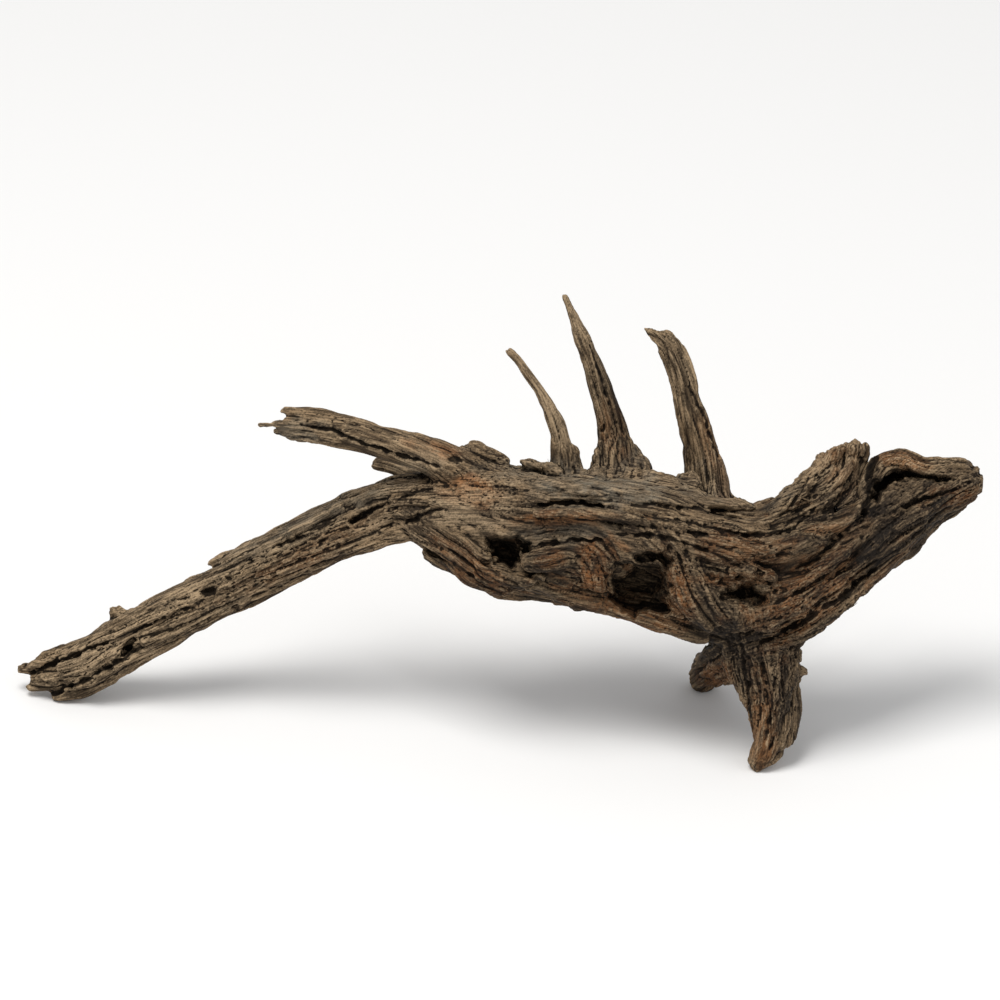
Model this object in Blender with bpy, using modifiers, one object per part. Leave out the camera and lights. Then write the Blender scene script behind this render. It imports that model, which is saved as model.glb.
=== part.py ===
"""Driftwood: a weathered root that stands on a front foot, a back toe and the tip of its long limb.

The root was grown as one piece. Its limbs are lofted through stations, joined into one body, roughened,
hollowed, and then parted again at the main forks, so that each fork is a solid of its own.

The stations are drawn on a sheet that leans back by LEAN, the way the root shows its best side. A station
is (across, up, depth, half_width, half_depth), in millimetres: across the sheet to the right, up the sheet,
depth behind the sheet, and the half sizes of the limb in the sheet and behind it.
"""
import math

import bmesh
import bpy
from mathutils import Matrix, Vector, noise

# Driving dimensions
MM = 0.001
LEAN = math.radians(30.0)       # the drawing sheet's lean from upright
JOIN_VOXEL = 0.9 * MM           # grid on which the lofted limbs grow together
FORK_GAP = 0.3 * MM             # saw gap between two pieces at a fork
ROUGH_TRIANGLES = 26000         # faces kept while the hollows are cut
KEPT_TRIANGLES = 6500           # faces kept before the root is parted at its forks
RING_STEP = 2.4                 # millimetres between two rings of a loft
LUMPS = ((17.0, 1.5), (8.0, 0.75), (4.2, 0.35))     # wavelength and height of the surface lumps, in mm
LUMP_STRETCH = 2.2              # how much longer the lumps are along the trunk than across it
FLUTES = ((3, 0.055), (5, 0.05), (8, 0.045), (13, 0.03))    # ridges round a limb, shares of its radius
FLUTE_DRIFT = 2.0               # how far the flutes drift round a limb, radians
FLUTE_RUN = 40                  # millimetres along a limb over which they drift
TWIST = 0.012                   # turn of the flutes along a limb, radians per millimetre
SIDES_PER_MM = 2.2              # sides of a loft for each millimetre of its half width
FEWEST_SIDES = 12
MOST_SIDES = 36
DOME = 0.6                      # height of a limb's rounded end, as a share of its half width
STEEPEST_WIDE = 0.05            # a limb that runs straight back has no width direction of its own
SOFTEN_SHARE = 0.5
SOFTEN_ROUNDS = 3
MERGE_DISTANCE = 0.000004       # metres
SHARP_ANGLE = math.radians(50)

# Trunk: its core, then the ridges and ledges that lie on it
TRUNK_CORE = (
    (-38, 105, -4, 10.5, 12), (-27, 101.5, -5, 10.5, 14), (-16, 98.5, -7, 17.5, 18), (0, 97, -8, 24, 22),
    (20, 93.5, -8, 24.5, 25), (40, 92.5, -8, 26, 26), (60, 88.5, -8, 27.5, 27), (80, 81.5, -8, 28, 26),
    (100, 76, -8, 27, 24), (118, 81, -9, 26, 22), (137, 91, -10, 19.5, 18), (154, 103, -11, 14, 14),
)
TOP_SLAB = ((-2, 113, -18, 5, 8), (24, 111.5, -24, 5, 9), (44, 110, -26, 5.5, 10), (64, 108, -25, 5, 9),
            (82, 103, -22, 4, 7))
BACK_SLAB = ((-6, 104, 8, 8, 7), (28, 104, 14, 9, 7), (62, 98, 16, 10, 7), (92, 86, 13, 10, 6))
SWEEP_RIDGE = ((42, 104, -31, 3, 3.5), (64, 101, -33, 3.6, 4), (84, 97, -30, 3.8, 4.5),
               (100, 96, -25, 4, 5), (112, 102, -22, 3.8, 5), (120, 112, -21, 3.4, 4.5),
               (127, 121, -18, 2.6, 3.5))
MID_RIDGE = ((30, 95, -33.5, 3, 2.6), (50, 93, -36, 3.4, 2.8), (70, 89, -36, 3.4, 3),
             (88, 86, -33, 4, 3.4), (106, 88, -31, 5.4, 4.4), (124, 92, -27, 5, 5), (138, 101, -24, 4, 4))
LEFT_STRAP = ((-34, 96.5, -13, 2.2, 3), (-17, 86, -20, 3.4, 3.6), (-8, 78, -20, 3.6, 3.8),
              (2, 74.5, -20, 3.6, 4), (14, 75.5, -23, 3, 3.4))
LEFT_FLAP = ((-4, 79, -10, 4, 6), (-16, 82, -12, 3.2, 5), (-24, 84.8, -13, 2.2, 3.4),
             (-29, 86.4, -13, 1.3, 1.8))
LOWER_LIP = ((22, 70.5, -14, 4, 6), (44, 66, -15, 4, 6.5), (64, 60, -15, 4, 6.5), (84, 54, -14, 3.8, 6))
RIGHT_STRAP = ((64, 94, -34, 2.6, 3), (70, 81, -36, 3.6, 3.6), (76, 68, -33, 3.6, 4),
               (85, 57, -27, 3.2, 3.8))
SLOPE_STRAP = ((102, 50, -15, 4.4, 6), (118, 54.6, -17, 4.6, 6), (131.6, 63, -18, 4.4, 5.5),
               (147.4, 76.4, -17, 4, 5), (162, 90.6, -15, 3.4, 4.5))
HOLLOW_PLUG = ((9, 84, -30, 4, 3.6), (18, 84.5, -33, 5.6, 3.6), (30, 87, -32.5, 4, 2.6))

# Limbs, each from its root in the trunk to its tip
LONG_LIMB = (
    (-12, 107.5, -6, 13, 14), (-40, 103.6, -3, 12, 12), (-64, 94.6, 5, 11.2, 11), (-88, 83.6, 14, 11.2, 11),
    (-112, 71, 22, 10.4, 10.5), (-136, 58.5, 31, 10.8, 10), (-158, 46.4, 39, 10.4, 9.5),
    (-173, 38.8, 44, 8.8, 8),
)
TOP_TOE = ((-164, 46.5, 41, 5, 6), (-180, 42.2, 46, 4, 5), (-189, 39.6, 48, 2.8, 3.6),
           (-194, 38.4, 49, 1.4, 1.8))
MIDDLE_TOE = ((-162, 41, 42, 5, 6), (-178, 36.6, 46, 4, 5), (-189, 33, 48.5, 2.2, 3))
LOW_TOE = ((-156, 39, 40, 5, 6), (-169, 32, 44, 4, 5), (-179, 28, 46.5, 2.4, 3.4))
LIMB_KNOT = ((-150, 58, 36, 3, 3), (-154.5, 63.5, 36, 2.4, 2.4))
SPLIT_BRANCH = ((6, 108, -6, 12, 13), (-14, 118.6, -11, 8.8, 9.5), (-32, 126.4, -14, 6.8, 7.5),
                (-48, 131, -17, 6, 6.8), (-62, 136, -19, 6.2, 6))
UPPER_PRONG = ((-50, 135.6, -17, 3.2, 4), (-62, 139.6, -18, 2.8, 3.4), (-71, 141.8, -19, 2, 2.4),
               (-86.5, 143, -20, 1.3, 1.5))
LONG_PRONG = ((-52, 133, -18, 4, 4.6), (-68, 136.8, -20, 3.2, 3.8), (-86, 138.6, -22, 1.9, 2.2),
              (-97, 137.4, -23, 1.2, 1.4))
LOWER_PRONG = ((-48, 129.6, -17, 3.8, 4.4), (-64, 131.6, -18, 2.9, 3.4), (-80, 133.6, -19, 2, 2.3),
               (-89.5, 135.4, -20, 1.3, 1.4))
TWIG_STUB = ((-24, 111, 1, 4.5, 4.5), (-36.5, 118.8, 6, 3, 3), (-43, 121.6, 8, 2.6, 2.8),
             (-49, 122.2, 9, 1.8, 1.9))
LEFT_SPIKE = ((27, 106, 1, 10, 10), (27.2, 117, 1.5, 7.6, 8), (26.6, 124, 0, 5.4, 5.8),
              (25.2, 131, -2, 4, 4.2), (23.6, 137, -4, 3.3, 3.4), (20.8, 143.6, -6, 3, 3),
              (17.2, 150, -8, 2.8, 2.8), (10, 160.8, -11, 2, 2), (3.6, 168, -13, 1.3, 1.3))
MIDDLE_SPIKE = ((50, 108, 1, 15, 13), (48.8, 120.5, 2, 12, 10.5), (47.6, 127, 0, 8.6, 8),
                (46.4, 133, -3, 6.2, 6.2), (44.4, 141, -7, 4.7, 5), (42, 149, -11, 4.2, 4.6),
                (36.8, 163, -18, 3.6, 3.8), (32.4, 175, -23, 3.1, 3.2), (29.4, 182, -25.5, 2.2, 2.4),
                (25.8, 189.6, -28, 1.3, 1.4))
RIGHT_SPIKE = ((85, 102, 5, 10.5, 11), (83.6, 112, 4, 8.6, 8.5), (82.4, 121, 1, 7.6, 7),
               (80.8, 129, -2, 6.9, 6), (78.8, 137, -5, 6.5, 5.4), (76.4, 145, -7.5, 6.3, 5),
               (74.4, 153, -10, 5.9, 4.6), (72.4, 161, -12.5, 5.5, 4.2), (70, 167, -14, 4.8, 3.8),
               (66, 171.6, -15, 3.4, 3), (61.6, 174.4, -15.5, 2.2, 2.2), (57.4, 176.6, -16, 1.2, 1.3))
SPIKE_NIB = ((68, 171, -14.5, 2.2, 2.2), (68.6, 176, -15, 1.2, 1.2))
BRANCH_BURL = ((-20, 121, -9, 4.5, 7), (-12, 125.4, -7, 4.2, 6), (-5, 124, -5, 4, 5),
               (4, 117.6, -2, 4.5, 6), (13, 117.6, -1, 3.6, 5), (22, 114, -2, 5, 8))
BURL_KNOB = ((119, 88, -8, 14, 14), (127.8, 103, -10, 12.4, 13), (134.4, 115.6, -11, 11, 11.5),
             (138.6, 124, -12, 8, 8.6), (139.6, 129.6, -12, 4.6, 5))
SNOUT = ((133, 86.6, -10, 17, 17), (148, 95.6, -11, 16.5, 16), (161, 104.2, -12, 14.4, 14),
         (173, 110, -12, 11.2, 12), (183, 113, -13, 9.6, 10.5), (190, 114.4, -13, 7.4, 8),
         (193.4, 115, -13, 3.4, 4))
SNOUT_BACK = ((144, 102, -6, 9, 10), (152, 112, -6, 9, 9), (163, 115, -6, 8, 9), (177, 116, -9, 6, 8))
SNOUT_LIP = ((147, 106, -20, 3.4, 5), (148.6, 115, -20, 3.4, 5), (153, 122.2, -19, 3.4, 5),
             (160.5, 123.8, -18, 3.4, 5), (169.5, 120, -18, 3.4, 5), (181, 119.6, -18, 4, 4.6),
             (187, 120, -16, 3.4, 4))
FRONT_FOOT = ((103, 61, -8, 18, 17), (106, 46, -7, 14.4, 14), (107.8, 34, -5, 12, 12),
              (109.2, 28, -4, 10.4, 10.4), (110, 20.5, -3, 8.8, 9), (109, 12.8, -1.8, 7.8, 8.2),
              (106.8, 7, -1, 5.6, 6.4), (104.2, 1.5, 0, 3.2, 4.2), (103.6, -2.4, 0, 2.2, 3.2))
FOOT_THORN = ((109, 43, -8, 5, 5), (117, 40.4, -8, 3, 3.2), (123.6, 38.8, -8, 1.3, 1.4))
BACK_TOE = ((100, 54, 2, 14, 12), (95.4, 47, 14, 10.6, 10), (91.4, 43, 26, 8.4, 8.4),
            (87.4, 39.4, 38, 7, 7), (84.6, 36.6, 48, 6, 6.4), (83.2, 34.6, 55.6, 5, 5.4))

GROWN = (
    TRUNK_CORE, TOP_SLAB, BACK_SLAB, SWEEP_RIDGE, MID_RIDGE, LEFT_STRAP, LEFT_FLAP, LOWER_LIP, RIGHT_STRAP,
    SLOPE_STRAP, HOLLOW_PLUG, LONG_LIMB, TOP_TOE, MIDDLE_TOE, LOW_TOE, LIMB_KNOT, SPLIT_BRANCH, UPPER_PRONG,
    LONG_PRONG, LOWER_PRONG, TWIG_STUB, LEFT_SPIKE, MIDDLE_SPIKE, RIGHT_SPIKE, SPIKE_NIB, BURL_KNOB, SNOUT,
    SNOUT_BACK, SNOUT_LIP, BRANCH_BURL, FRONT_FOOT, FOOT_THORN, BACK_TOE,
)

# Rotted hollows, gullies and cracks, lofted in the same way and cut out of the root
HOLLOWS = {
    "left_hollow": ((-4, 92, -34, 3, 9), (0, 88, -34, 7, 15), (4, 84, -34, 7, 15), (8, 78, -34, 3, 10)),
    "left_hollow_crack": ((8, 90, -36, 1.4, 6), (22, 93, -38, 1.6, 7), (34, 93, -38, 1.1, 5)),
    "belly_hollow": ((43, 76, -38, 5, 12), (49, 75, -38, 11.4, 18), (58, 74, -38, 11.8, 18),
                     (66, 79, -38, 5, 12)),
    "eye_hollow": ((88, 68.5, -38, 2.2, 9), (94, 70.5, -38, 5, 15), (101, 71, -38, 4.8, 15),
                   (107, 69, -38, 2, 9)),
    "ledge_slit": ((12, 106.6, -36, 0.9, 5), (24, 105.6, -38, 1.5, 8), (40, 104.6, -40, 1.2, 7)),
    "slope_crack": ((103, 54, -30, 0.8, 8), (120, 60.5, -31, 1.5, 10), (134, 70, -30, 1.5, 10),
                    (150, 80, -26, 0.9, 7)),
    "snout_groove": ((150, 108, -28, 1.6, 8), (152, 114, -29, 3, 13), (160, 117.6, -29, 2.6, 13),
                     (172, 115, -28, 1.1, 8)),
    "limb_slit": ((-62, 100, -8, 0.8, 4), (-52, 105, -10, 1.5, 6), (-42, 108.6, -14, 0.8, 4)),
    "limb_upper_hole": ((-122, 70, 10, 1.2, 4), (-117, 72, 9, 2.1, 6), (-111, 74.5, 8, 1.2, 4)),
    "limb_lower_hole": ((-153, 45, 28, 1.2, 4), (-149, 48.5, 28, 2.2, 6), (-145, 52, 28, 1.2, 4)),
    "branch_crack": ((-68, 136.6, -28, 0.8, 6), (-56, 134.4, -27, 1.1, 6), (-40, 130, -24, 1, 5)),
    "spike_groove": ((75, 154, -16, 0.8, 3), (81, 141, -13, 1.3, 4), (86, 126, -9, 1.2, 4)),
    "foot_gully": ((96, 30, -16, 1, 5), (99, 42, -22, 2, 7), (97, 52, -26, 1.2, 6)),
}

# The sleeve round each limb, from its fork outwards: what is inside it is that limb's own solid
FORKS = {
    "twig_stub": ((-36, 119, 6, 3.8, 4.4), (-43, 122, 8, 3.8, 4.4), (-54, 123, 10, 3.8, 4.4)),
    "split_branch": ((-22, 123.5, -12.5, 10.5, 11.5), (-45, 131.5, -16.5, 10, 11), (-62, 137, -19, 11, 11),
                     (-106, 139, -24, 11, 10)),
    "left_spike": ((27, 122.5, 0, 9, 9), (24, 136, -4, 8, 9), (16, 151, -8, 8, 8), (-1, 174, -14, 7, 7)),
    "middle_spike": ((48, 126, 0.5, 14, 13), (44, 142, -7, 11, 10), (36, 164, -18, 9, 9),
                     (23, 197, -30, 8, 8)),
    "right_spike": ((84, 110, 4.5, 14, 14), (80, 130, -2, 12, 12), (74, 153, -10, 12, 11),
                    (64, 176, -15, 14, 10), (52, 184, -17, 12, 10)),
    "burl_knob": ((126.5, 106, -10.5, 17, 18), (132.5, 117, -11, 14, 16), (139.5, 138, -12, 11, 13)),
    "snout": ((149, 98.5, -11, 22, 22), (160, 107, -12, 21, 20), (172, 112, -12, 18, 18),
              (204, 118, -13, 16, 16)),
    "back_toe": ((93, 46, 17, 14, 14), (88, 41, 32, 13, 13), (79, 30, 66, 13, 13)),
    "front_foot": ((106.4, 41, -6, 22, 22), (108, 26, -4, 18, 18), (103, -10, 0, 14, 14)),
    "long_limb": ((-40, 107, -3, 17, 20), (-110, 72.5, 22, 17, 17), (-172, 40, 45, 18, 16),
                  (-206, 25, 52, 18, 16)),
}

# Colours of the dry wood, from the pale limbs to the dark wet end
FINISHES = {
    "trunk": ((0.115, 0.072, 0.042), 0.85), "long_limb": ((0.155, 0.118, 0.08), 0.9),
    "split_branch": ((0.175, 0.13, 0.09), 0.85), "twig_stub": ((0.16, 0.12, 0.08), 0.9),
    "left_spike": ((0.22, 0.15, 0.09), 0.8), "middle_spike": ((0.14, 0.09, 0.05), 0.8),
    "right_spike": ((0.13, 0.085, 0.055), 0.8), "burl_knob": ((0.14, 0.095, 0.06), 0.85),
    "snout": ((0.06, 0.04, 0.028), 0.85), "front_foot": ((0.085, 0.055, 0.036), 0.85),
    "back_toe": ((0.07, 0.045, 0.03), 0.85),
}


def clear_scene():
    """Removes the objects that the file opens with."""
    for old in list(bpy.data.objects):
        bpy.data.objects.remove(old, do_unlink=True)


def collection(name):
    """A new collection under the scene's own."""
    group = bpy.data.collections.new(name)
    bpy.context.scene.collection.children.link(group)
    return group


def on_sheet(across, up, depth):
    """A point of the sheet as a vector in metres, before the sheet is leaned back."""
    return Vector((across, depth, up)) * MM


def blended(stations, index, share):
    """The station at a share of the way from one station to the next, on a smooth curve."""
    last = len(stations) - 1
    four = [stations[min(max(index + k, 0), last)] for k in (-1, 0, 1, 2)]
    before, start, end, after = four
    result = []
    for a, b, c, d in zip(before, start, end, after):
        curve = 2 * b + (c - a) * share + (2 * a - 5 * b + 4 * c - d) * share ** 2
        curve += (3 * b - a - 3 * c + d) * share ** 3
        result.append(curve / 2)
    return result


def smooth_stations(stations):
    """Stations about RING_STEP apart on the smooth curve through the given ones."""
    line = []
    for index in range(len(stations) - 1):
        near, far = Vector(stations[index][:3]), Vector(stations[index + 1][:3])
        steps = max(2, round((far - near).length / RING_STEP))
        line += [blended(stations, index, step / steps) for step in range(steps)]
    line.append(list(stations[-1]))
    return line


def fluting(angle, run, seed):
    """How much a limb swells at an angle round it, at a run along it in millimetres."""
    swell = 0.0
    for count, share in FLUTES:
        phase = seed * count + FLUTE_DRIFT * noise.noise(Vector((run / FLUTE_RUN, seed, count)))
        swell += share * math.cos(count * (angle + TWIST * run) + phase)
    return 1 + swell


def loft(shape, stations, seed=0.0, fluted=True, grow=0.0, push_back=0.0):
    """Adds a closed loft through the stations to a bmesh, with domed ends where it is fluted."""
    line = smooth_stations(stations)
    points = [on_sheet(*station[:3]) for station in line]
    rings = []
    run = 0.0
    sheet_normal = Vector((0, 1, 0))
    widest = max(max(station[3:]) for station in stations)
    sides = max(FEWEST_SIDES, min(MOST_SIDES, round(widest * SIDES_PER_MM))) if fluted else FEWEST_SIDES
    for index, station in enumerate(line):
        ahead = points[min(index + 1, len(points) - 1)] - points[max(index - 1, 0)]
        along = ahead.normalized()
        if index:
            run += (points[index] - points[index - 1]).length / MM
        wide = along.cross(sheet_normal)
        wide = wide.normalized() if wide.length > STEEPEST_WIDE else Vector((0, 0, 1))
        deep = wide.cross(along).normalized()
        centre = points[index] - (along * push_back if index == 0 else Vector())
        ring = []
        for side in range(sides):
            angle = 2 * math.pi * side / sides
            swell = fluting(angle, run, seed) if fluted else 1
            across = wide * math.cos(angle) * (station[3] * MM * swell + grow)
            behind = deep * math.sin(angle) * (station[4] * MM * swell + grow)
            ring.append(shape.verts.new(centre + across + behind))
        rings.append(ring)
    for ring, following in zip(rings, rings[1:]):
        for side in range(sides):
            beside = (side + 1) % sides
            shape.faces.new((ring[side], ring[beside], following[beside], following[side]))
    for ring, inner, sign in ((rings[0], line[0], -1), (rings[-1], line[-1], 1)):
        tip = points[0] if sign < 0 else points[-1]
        toward = (points[1] - points[0] if sign < 0 else points[-1] - points[-2]).normalized()
        dome = min(inner[3], inner[4]) * DOME * MM if fluted else (push_back if sign < 0 else 0)
        pole = shape.verts.new(tip + toward * sign * dome)
        for side in range(sides):
            shape.faces.new((ring[side], ring[(side + 1) % sides], pole))


def lofted_object(name, runs, group, **options):
    """One object that holds a loft for each run of stations."""
    shape = bmesh.new()
    for index, stations in enumerate(runs):
        loft(shape, stations, seed=1.7 * index + 0.4, **options)
    bmesh.ops.recalc_face_normals(shape, faces=shape.faces)
    mesh = bpy.data.meshes.new(name)
    shape.to_mesh(mesh)
    shape.free()
    made = bpy.data.objects.new(name, mesh)
    group.objects.link(made)
    return made


def as_cutter(made):
    """Marks an object as a guide that only cuts."""
    made.hide_render = True
    made.display_type = "WIRE"
    return made


def settled(made):
    """Replaces an object's mesh by its evaluated one, and drops the modifiers."""
    graph = bpy.context.evaluated_depsgraph_get()
    mesh = bpy.data.meshes.new_from_object(made.evaluated_get(graph))
    made.modifiers.clear()
    made.data = mesh
    return made


def thin_out(made, triangles):
    """Collapses edges until about so many triangles are left."""
    made.data.calc_loop_triangles()
    step = made.modifiers.new("thin", "DECIMATE")
    step.ratio = min(1.0, triangles / len(made.data.loop_triangles))
    step.use_collapse_triangulate = True
    return settled(made)


def cut_with(made, cutter, operation):
    """Cuts an object with another."""
    step = made.modifiers.new("cut", "BOOLEAN")
    step.operation = operation
    step.solver = "EXACT"
    step.object = cutter
    return settled(made)


def lump_at(point):
    """Height of the lumps at a point, in metres: stretched along the trunk, where the grain runs."""
    height = 0.0
    for wavelength, size in LUMPS:
        place = Vector((point.x / LUMP_STRETCH, point.y, point.z)) / (wavelength * MM)
        height += size * MM * noise.noise(place)
    return height


def roughen(made):
    """Raises and sinks the surface by the lumps."""
    mesh = made.data
    moved = [vert.co + vert.normal * lump_at(vert.co) for vert in mesh.vertices]
    for vert, place in zip(mesh.vertices, moved):
        vert.co = place


def grow_root(group):
    """Joins every limb into one body, and roughens it."""
    root = lofted_object("root_growth", GROWN, group)
    step = root.modifiers.new("join", "REMESH")
    step.mode = "VOXEL"
    step.voxel_size = JOIN_VOXEL
    soften = root.modifiers.new("soften", "SMOOTH")
    soften.factor = SOFTEN_SHARE
    soften.iterations = SOFTEN_ROUNDS
    settled(root)
    roughen(root)
    return thin_out(root, ROUGH_TRIANGLES)


def hollow_out(root, cutters):
    """Cuts the hollows and cracks."""
    for name, stations in HOLLOWS.items():
        cutter = as_cutter(lofted_object(name, (stations,), cutters))
        cut_with(root, cutter, "DIFFERENCE")
    return thin_out(root, KEPT_TRIANGLES)


def largest_body(mesh):
    """Keeps only the largest of the separate bodies in a mesh."""
    shape = bmesh.new()
    shape.from_mesh(mesh)
    bmesh.ops.remove_doubles(shape, verts=shape.verts, dist=MERGE_DISTANCE)
    unseen = set(shape.verts)
    bodies = []
    while unseen:
        body = set()
        front = [unseen.pop()]
        while front:
            vert = front.pop()
            body.add(vert)
            for edge in vert.link_edges:
                other = edge.other_vert(vert)
                if other in unseen:
                    unseen.remove(other)
                    front.append(other)
        bodies.append(body)
    bodies.sort(key=len)
    bmesh.ops.delete(shape, geom=[vert for body in bodies[:-1] for vert in body], context="VERTS")
    bmesh.ops.triangulate(shape, faces=shape.faces)
    shape.to_mesh(mesh)
    shape.free()


def lean_back(root):
    """Leans the sheet back, and cuts the three feet flat where they meet the ground."""
    root.data.transform(Matrix.Rotation(-LEAN, 4, "X"))
    shape = bmesh.new()
    shape.from_mesh(root.data)
    everything = shape.verts[:] + shape.edges[:] + shape.faces[:]
    cut = bmesh.ops.bisect_plane(shape, geom=everything, plane_no=(0, 0, -1), clear_outer=True)
    edges = [item for item in cut["geom_cut"] if isinstance(item, bmesh.types.BMEdge)]
    bmesh.ops.holes_fill(shape, edges=edges)
    bmesh.ops.triangulate(shape, faces=shape.faces)
    shape.to_mesh(root.data)
    shape.free()


def part_limb(root, name, sleeve, parts, cutters):
    """Parts one limb from the root at its fork, with a saw gap."""
    limb = bpy.data.objects.new(name, root.data.copy())
    parts.objects.link(limb)
    lean = Matrix.Rotation(-LEAN, 4, "X")
    inside = as_cutter(lofted_object(name + "_sleeve", (sleeve,), cutters, fluted=False))
    inside.data.transform(lean)
    cut_with(limb, inside, "INTERSECT")
    wider = lofted_object(name + "_saw", (sleeve,), cutters, fluted=False, grow=FORK_GAP, push_back=FORK_GAP)
    as_cutter(wider).data.transform(lean)
    cut_with(root, wider, "DIFFERENCE")
    largest_body(limb.data)
    return limb


def finish(made):
    """Gives a piece its wood colour, and shades it smooth."""
    color, roughness = FINISHES[made.name]
    wood = bpy.data.materials.new(made.name + "_wood")
    wood.use_nodes = True
    shader = wood.node_tree.nodes["Principled BSDF"]
    shader.inputs["Base Color"].default_value = (*color, 1)
    shader.inputs["Roughness"].default_value = roughness
    shader.inputs["Metallic"].default_value = 0
    made.data.materials.clear()
    made.data.materials.append(wood)
    made.data.shade_smooth()
    made.data.set_sharp_from_angle(angle=SHARP_ANGLE)


def centre_on_floor(pieces):
    """Shifts all pieces so that the origin is under the middle of their box."""
    corners = [vert.co for piece in pieces for vert in piece.data.vertices]
    low = Vector([min(corner[k] for corner in corners) for k in range(3)])
    high = Vector([max(corner[k] for corner in corners) for k in range(3)])
    shift = Matrix.Translation((-(low.x + high.x) / 2, -(low.y + high.y) / 2, -low.z))
    for piece in pieces:
        piece.data.transform(shift)


def main():
    clear_scene()
    parts = collection("driftwood")
    cutters = collection("cutters")
    root = grow_root(parts)
    hollow_out(root, cutters)
    largest_body(root.data)
    lean_back(root)
    pieces = [part_limb(root, name, sleeve, parts, cutters) for name, sleeve in FORKS.items()]
    largest_body(root.data)
    root.name = "trunk"
    pieces.append(root)
    centre_on_floor(pieces)
    for piece in pieces:
        finish(piece)


main()
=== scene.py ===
"""Looks of the driftwood: a grey, cracked root on a pale studio floor, laid out as a Blender add-on.

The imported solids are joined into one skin. The skin is sculpted with the strands, cracks, ledges and pits
of the real wood, and is then parted again at the forks, so that each piece stands for its own solid.

Most sizes are given on a sheet that leans back by LEAN, the way the root shows its best side. Across is to
the right, up is up the sheet, depth is behind it, and all three are in millimetres.
"""
import math

import bmesh
import bpy
import numpy as np
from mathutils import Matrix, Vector
from mathutils.bvhtree import BVHTree


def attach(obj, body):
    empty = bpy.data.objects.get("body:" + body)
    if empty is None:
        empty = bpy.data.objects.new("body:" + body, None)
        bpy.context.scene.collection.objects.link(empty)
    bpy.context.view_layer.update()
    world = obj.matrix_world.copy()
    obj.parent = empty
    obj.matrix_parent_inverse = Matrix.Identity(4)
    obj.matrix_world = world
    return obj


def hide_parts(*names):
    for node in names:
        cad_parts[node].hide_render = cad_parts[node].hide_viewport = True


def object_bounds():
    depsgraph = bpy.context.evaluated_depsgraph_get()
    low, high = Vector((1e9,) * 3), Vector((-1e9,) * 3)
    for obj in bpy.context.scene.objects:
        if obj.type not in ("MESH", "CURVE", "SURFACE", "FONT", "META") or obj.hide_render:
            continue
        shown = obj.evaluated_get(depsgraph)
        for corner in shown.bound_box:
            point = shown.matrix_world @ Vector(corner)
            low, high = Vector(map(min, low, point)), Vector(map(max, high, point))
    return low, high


bl_info = {
    "name": "Driftwood root",
    "version": (1, 0, 0),
    "blender": (4, 5, 0),
    "location": "3D View > Sidebar > Driftwood",
    "description": "Weathered root with cracked, pitted and stained wood",
    "category": "Object",
}

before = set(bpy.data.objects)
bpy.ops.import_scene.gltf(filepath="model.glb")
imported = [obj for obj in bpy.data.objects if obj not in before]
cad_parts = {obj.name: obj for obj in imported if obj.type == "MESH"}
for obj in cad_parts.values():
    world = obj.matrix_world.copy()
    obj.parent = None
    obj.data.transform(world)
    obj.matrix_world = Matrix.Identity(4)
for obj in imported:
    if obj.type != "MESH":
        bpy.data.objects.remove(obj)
CAD_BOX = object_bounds()

MM = 0.001
LEAN = math.radians(30.0)
SHEET_SHIFT = (0.234, -35.976, 0.0)     # from the sheet's origin to the floor's, in mm
TOWARDS_VIEWER = np.array((0.0, -1.0, 0.0), np.float32)
BEHIND = np.array((0, 1, 0.05))         # behind the sheet, turned a little so that no line runs along it
WHOLE = "whole_skin"
TRUNK_CUTS = (0.018, 0.075)             # where the trunk's skin is parted across its length, in metres
TRUNK_PARTS = ("trunk", "trunk_middle", "trunk_right")

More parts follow.
